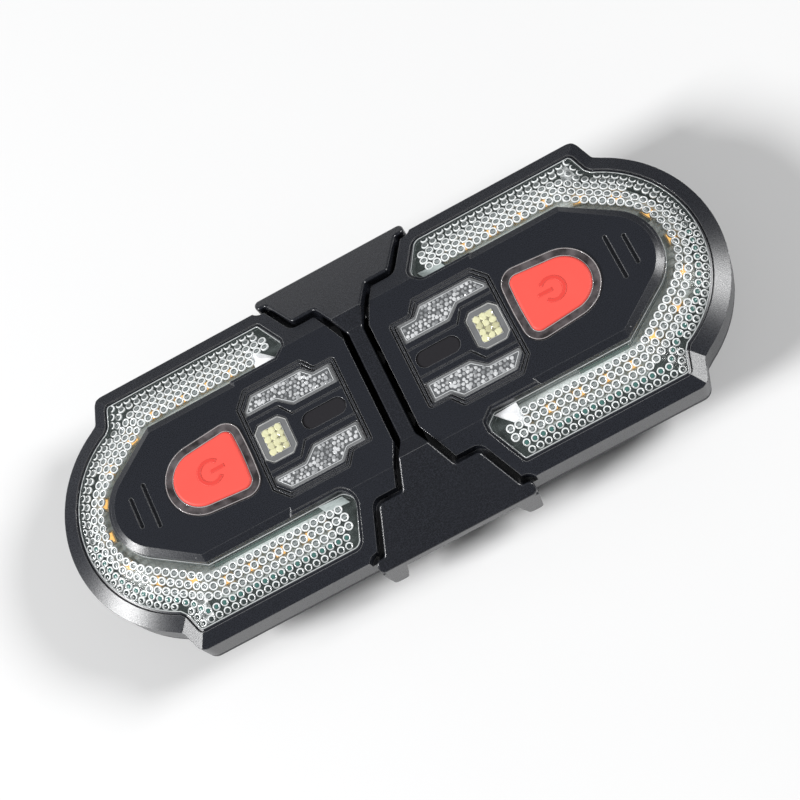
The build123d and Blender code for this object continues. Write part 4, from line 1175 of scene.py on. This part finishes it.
class SIGNALLIGHT_OT_board_edges(Operator):
    """Add the green board edges that stand beside the island, under the lens"""
    bl_idname = "signal_light.board_edges"
    bl_label = "Board edges"

    def execute(self, context):
        green = solder_mask("green board coating", (0.012, 0.085, 0.06))
        for side, turn in SIDES.items():
            low_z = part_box(f"{side}_circuit_board")[1].z
            points, faces = [], []
            for arm, start_x in board_edge_starts:
                inner = arm * (island_half_width + board_edge_gap)
                outer = arm * (island_half_width + board_edge_reach)
                plan = [
                    (start_x, inner), (board_edge_end_x, inner), (board_edge_end_x, outer), (start_x, outer),
                ]
                low = [turned((*place, low_z), turn) for place in plan]
                high = [turned((*place, low_z + board_edge_height), turn) for place in plan]
                slab(low, high, points, faces)
            new_piece(
                f"{side}_board_edges", points, faces, f"{side}_lamp", green,
                smooth=False, edge_radius=0.05 * MM,
            )
        return {"FINISHED"}


class SIGNALLIGHT_OT_led_phosphor(Operator):
    """Add the amber and white phosphor on the LED packages, with painted light in its emission"""
    bl_idname = "signal_light.led_phosphor"
    bl_label = "LED phosphor"

    def execute(self, context):
        colours = context.scene.signal_light_colours
        # The emission strengths are painted light.
        amber = phosphor("amber phosphor", colours.amber, painted_glow=1.2)
        white = phosphor("white phosphor", colours.warm_white, painted_glow=0.25)
        for side in SIDES:
            for node, slot, material, share in (
                ("signal_leds", "amber_led", amber, 0.72),
                ("white_leds", "white_led", white, 0.8),
            ):
                points, faces = [], []
                for corners in solids_of(f"{side}_{node}"):
                    top = max(p.z for p in corners)
                    rim = [p for p in corners if p.z > top - 0.01 * MM]
                    middle = points_centre(rim)
                    rim.sort(key=lambda p: math.atan2(p.y - middle.y, p.x - middle.x))
                    low = [middle + (p - middle) * share for p in rim]
                    high = [middle + (p - middle) * share * phosphor_top_share for p in rim]
                    slab(low, [p + upwards(phosphor_rise) for p in high], points, faces)
                new_piece(
                    f"{side}_{node}_phosphor", points, faces, f"{side}_lamp", material,
                    smooth=False, edge_radius=0.06 * MM,
                )
        return {"FINISHED"}


# Operators: pieces of the panel and the buttons

def window_outline(node):
    """Plan outline of a window's face."""
    return max(upper_loops(node, least_rise=0.9), key=lambda loop: max(p.z for p in loop))


class SIGNALLIGHT_OT_window_pebbles(Operator):
    """Add the dark trays in the side windows, painting the shade between their glittering pebbles, with a pale
    bead round each tray that paints a highlight line
    """
    bl_idname = "signal_light.window_pebbles"
    bl_label = "Window pebbles"

    def execute(self, context):
        size = context.scene.signal_light_sizes.pebble_size
        ice = crushed_ice("window pebbles", (0.24, 0.25, 0.26), (0.82, 0.83, 0.84), 0.9)
        # The dark tray paints the shade between the pebbles, and the pale bead paints a highlight line.
        dark = smoked_plastic("window tray shade", (0.11, 0.115, 0.12))
        line = satin_white("window highlight line", (0.72, 0.74, 0.75), streak=0.3)
        for side in SIDES:
            for seed, node in enumerate(("upper_window", "lower_window")):
                chance = random.Random(pebble_seed + seed)
                outline = window_outline(f"{side}_{node}")
                top = outline[0].z
                seat = top + tray_rise
                tray = inset_loop(outline, tray_border, tray_step)
                name, body = f"{side}_{node}", f"{side}_lamp"
                points, faces = [], []
                slab(level(tray, top - tray_sink), level(tray, seat), points, faces)
                new_piece(f"{name}_tray", points, faces, body, dark, smooth=False)
                points, faces = [], []
                swept_bead(level(tray, seat), line_highlight_radius, True, points, faces, 6)
                new_piece(f"{name}_line", points, faces, body, line)
                points, faces, shades = [], [], []
                low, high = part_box(name)
                for i in range(int((high.x - low.x) / size) + 2):
                    for j in range(int((high.y - low.y) / size) + 2):
                        wander = Vector([chance.uniform(-pebble_wander, pebble_wander) for _ in range(2)])
                        stand = Vector((i + 0.5 * (j % 2), pebble_row_pitch * j))
                        place = low.to_2d() + size * (stand + wander)
                        radius = size * chance.uniform(*pebble_radii)
                        tone = chance.random() ** 0.7
                        if inside_plan(place, outline, tray_border + pebble_clearance * radius):
                            count = len(faces)
                            pebble(Vector((*place, seat)), radius, pebble_height, chance, points, faces)
                            shades += [tone] * (len(faces) - count)
                piece = new_piece(
                    f"{name}_pebbles", points, faces, body, ice, smooth=False,
                )
                piece.data.attributes.new("shade", "FLOAT", "FACE").data.foreach_set("value", shades)
        return {"FINISHED"}


class SIGNALLIGHT_OT_light_cells(Operator):
    """Add the pale yellow cells in the eight-sided windows, on their dark tray, with pale beads that paint
    highlight lines round the tray and the window's face
    """
    bl_idname = "signal_light.light_cells"
    bl_label = "Light cells"

    def execute(self, context):
        warm = context.scene.signal_light_colours.warm_white
        pale = crushed_ice("light cells", (0.40, 0.38, 0.24), warm, 0.95)
        dark = smoked_plastic("cell tray", (0.26, 0.25, 0.17))
        # Pale beads that paint highlight lines round the tray and the window's face.
        line = satin_white("cell highlight line", (0.62, 0.62, 0.60), streak=0.4)
        chance = random.Random(cell_seed)
        for side in SIDES:
            body = f"{side}_lamp"
            low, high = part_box(f"{side}_light_window")
            middle = ((low + high) / 2).to_2d()
            outline = window_outline(f"{side}_light_window")
            top = outline[0].z
            reach = Vector((cell_columns * cell_pitch / 2, cell_rows * cell_pitch / 2))
            corners = ((1, 1), (-1, 1), (-1, -1), (1, -1))
            tray = [middle + Vector((reach.x * a, reach.y * b)) for a, b in corners]
            points, faces = [], []
            slab(level(tray, top - tray_sink), level(tray, top + cell_tray_rise), points, faces)
            new_piece(f"{side}_cell_tray", points, faces, body, dark, smooth=False)
            points, faces = [], []
            swept_bead(level(tray, top + tray_rise), line_highlight_radius, True, points, faces, 6)
            rim = inset_loop(outline, cell_rim_inset, tray_step)
            swept_bead(level(rim, top), line_highlight_radius, True, points, faces, 6)
            new_piece(f"{side}_cell_highlight_lines", points, faces, body, line)
            points, faces, shades = [], [], []
            for i in range(cell_columns):
                for j in range(cell_rows):
                    across = Vector((i - (cell_columns - 1) / 2, j - (cell_rows - 1) / 2))
                    place = Vector((*(middle + cell_pitch * across), top + cell_tray_rise))
                    count = len(faces)
                    pebble(place, cell_radius_share * cell_pitch, cell_height, chance, points, faces, 8)
                    shades += [chance.uniform(0.45, 1)] * (len(faces) - count)
            cells = new_piece(
                f"{side}_light_cells", points, faces, body, pale,
                smooth=False, edge_radius=0.08 * MM,
            )
            cells.data.attributes.new("shade", "FLOAT", "FACE").data.foreach_set("value", shades)
        return {"FINISHED"}


class SIGNALLIGHT_OT_power_marks(Operator):
    """Add the raised power mark on each button"""
    bl_idname = "signal_light.power_marks"
    bl_label = "Power marks"

    def execute(self, context):
        sizes, colours = context.scene.signal_light_sizes, context.scene.signal_light_colours
        red = soft_touch("power mark plastic", [c * s for c, s in zip(colours.button, (0.84, 0.62, 0.62))])
        width = sizes.mark_line
        inner, outer = mark_radius - width, mark_radius
        start, end = mark_heading + mark_gap, mark_heading - mark_gap + 2 * math.pi
        heading = Vector((math.cos(mark_heading), math.sin(mark_heading)))
        across = Vector((-heading.y, heading.x)) * width / 2
        ring = list(zip(*(arc_line(mark_centre, radius, start, end, 48) for radius in (inner, outer))))
        middles = [mark_centre + heading * mark_bar * i / 6 for i in range(7)]
        bar = [(middle - across, middle + across) for middle in middles]
        for side, turn in SIDES.items():
            surface = surface_of(f"{side}_button")
            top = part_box(f"{side}_button")[1].z + MM
            points, faces = [], []
            for pairs in (ring, bar):
                flat_band(pairs, surface, turn, top, mark_sink, mark_rise, points, faces)
            new_piece(
                f"{side}_power_mark", points, faces, f"{side}_push", red,
                smooth=False, edge_radius=0.06 * MM,
            )
        return {"FINISHED"}


# Operators: the back

class SIGNALLIGHT_OT_pad_ribs(Operator):
    """Add the gripping ribs on the post pad"""
    bl_idname = "signal_light.pad_ribs"
    bl_label = "Pad ribs"

    def execute(self, context):
        pitch = context.scene.signal_light_sizes.rib_pitch
        rubber = soft_rubber("rib rubber", (0.024, 0.024, 0.026))
        low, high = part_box("post_pad")
        clamp = next(m for m in frame["record"]["mounts"] if m["name"] == "post_cradle")
        post_radius, axis_z = clamp["dims"]["r_mm"] * MM, clamp["pos_m"][2]
        points, faces = [], []
        spread = math.asin((high.x - rib_margin) / post_radius) * rib_spread
        for n in range(int((high.y - low.y - 2 * rib_margin) / pitch) + 1):
            y = low.y + rib_margin + n * pitch
            line = []
            for i in range(2 * rib_half_steps + 1):
                angle = spread * (i / rib_half_steps - 1)
                z = axis_z + post_radius * math.cos(angle)
                line.append(Vector((post_radius * math.sin(angle), y, z)))
            swept_bead(line, rib_radius, False, points, faces, 6)
        new_piece("pad_ribs", points, faces, "bracket", rubber)
        return {"FINISHED"}


# Operators: stage and camera

class SIGNALLIGHT_OT_stage(Operator):
    """Add the floor, the lamps of the studio and the camera"""
    bl_idname = "signal_light.stage"
    bl_label = "Stage"

    def execute(self, context):
        scene = context.scene
        shape = bmesh.new()
        bmesh.ops.create_circle(shape, cap_ends=True, radius=floor_radius, segments=96)
        mesh = bpy.data.meshes.new("floor")
        shape.to_mesh(mesh)
        shape.free()
        mesh.materials.append(studio_floor("floor paint", scene.signal_light_colours.floor))
        floor = bpy.data.objects.new("floor", mesh)
        floor.location.z = -floor_drop
        scene.collection.objects.link(floor)
        for name, place, size, power in stage_lamps:
            light = bpy.data.lights.new(name, "AREA")
            light.shape = "DISK"
            light.size = size
            light.energy = power
            lamp = bpy.data.objects.new(name, light)
            lamp.location = place
            lamp.rotation_euler = (-place).to_track_quat("-Z", "Y").to_euler()
            scene.collection.objects.link(lamp)
        world = bpy.data.worlds.new("studio")
        world.use_nodes = True
        background = world.node_tree.nodes["Background"]
        background.inputs["Color"].default_value = world_colour
        background.inputs["Strength"].default_value = world_strength
        scene.world = world
        scene.view_settings.view_transform = "Standard"
        lens = bpy.data.cameras.new("camera")
        lens.lens = camera_lens
        lens.sensor_width = camera_sensor
        camera = bpy.data.objects.new("camera", lens)
        axes = Matrix((camera_across, camera_upward, camera_across.cross(camera_upward)))
        camera.matrix_world = Matrix.Translation(camera_place) @ axes.transposed().to_4x4()
        scene.collection.objects.link(camera)
        scene.camera = camera
        return {"FINISHED"}


STEPS = (
    SIGNALLIGHT_OT_moulded_plastics,
    SIGNALLIGHT_OT_rubbers,
    SIGNALLIGHT_OT_metals,
    SIGNALLIGHT_OT_clear_parts,
    SIGNALLIGHT_OT_buttons,
    SIGNALLIGHT_OT_electronics,
    SIGNALLIGHT_OT_lenslets,
    SIGNALLIGHT_OT_lens_rims,
    SIGNALLIGHT_OT_ring_lines,
    SIGNALLIGHT_OT_tip_facets,
    SIGNALLIGHT_OT_shoulder_reflectors,
    SIGNALLIGHT_OT_end_shields,
    SIGNALLIGHT_OT_board_edges,
    SIGNALLIGHT_OT_led_phosphor,
    SIGNALLIGHT_OT_window_pebbles,
    SIGNALLIGHT_OT_light_cells,
    SIGNALLIGHT_OT_power_marks,
    SIGNALLIGHT_OT_pad_ribs,
    SIGNALLIGHT_OT_stage,
)


class SIGNALLIGHT_PT_panel(Panel):
    """Lists the steps, sizes and colours"""
    bl_idname = "SIGNALLIGHT_PT_panel"
    bl_label = "Signal Light"
    bl_space_type = "VIEW_3D"
    bl_region_type = "UI"
    bl_category = "Signal Light"

    def draw(self, context):
        for step in STEPS:
            self.layout.operator(step.bl_idname)
        for group in (context.scene.signal_light_sizes, context.scene.signal_light_colours):
            for name in group.bl_rna.properties.keys():
                if name not in ("rna_type", "name"):
                    self.layout.prop(group, name)


CLASSES = (SignalLightSizes, SignalLightColours, *STEPS, SIGNALLIGHT_PT_panel)


def register():
    for item in CLASSES:
        bpy.utils.register_class(item)
    bpy.types.Scene.signal_light_sizes = PointerProperty(type=SignalLightSizes)
    bpy.types.Scene.signal_light_colours = PointerProperty(type=SignalLightColours)


def unregister():
    del bpy.types.Scene.signal_light_colours
    del bpy.types.Scene.signal_light_sizes
    for item in reversed(CLASSES):
        bpy.utils.unregister_class(item)


def main():
    register()
    bpy.ops.signal_light.moulded_plastics()
    bpy.ops.signal_light.rubbers()
    bpy.ops.signal_light.metals()
    bpy.ops.signal_light.clear_parts()
    bpy.ops.signal_light.buttons()
    bpy.ops.signal_light.electronics()
    bpy.ops.signal_light.lenslets()
    bpy.ops.signal_light.lens_rims()
    bpy.ops.signal_light.ring_lines()
    bpy.ops.signal_light.tip_facets()
    bpy.ops.signal_light.shoulder_reflectors()
    bpy.ops.signal_light.end_shields()
    bpy.ops.signal_light.board_edges()
    bpy.ops.signal_light.led_phosphor()
    bpy.ops.signal_light.window_pebbles()
    bpy.ops.signal_light.light_cells()
    bpy.ops.signal_light.power_marks()
    bpy.ops.signal_light.pad_ribs()
    bpy.ops.signal_light.stage()


if __name__ == "__main__":
    main()
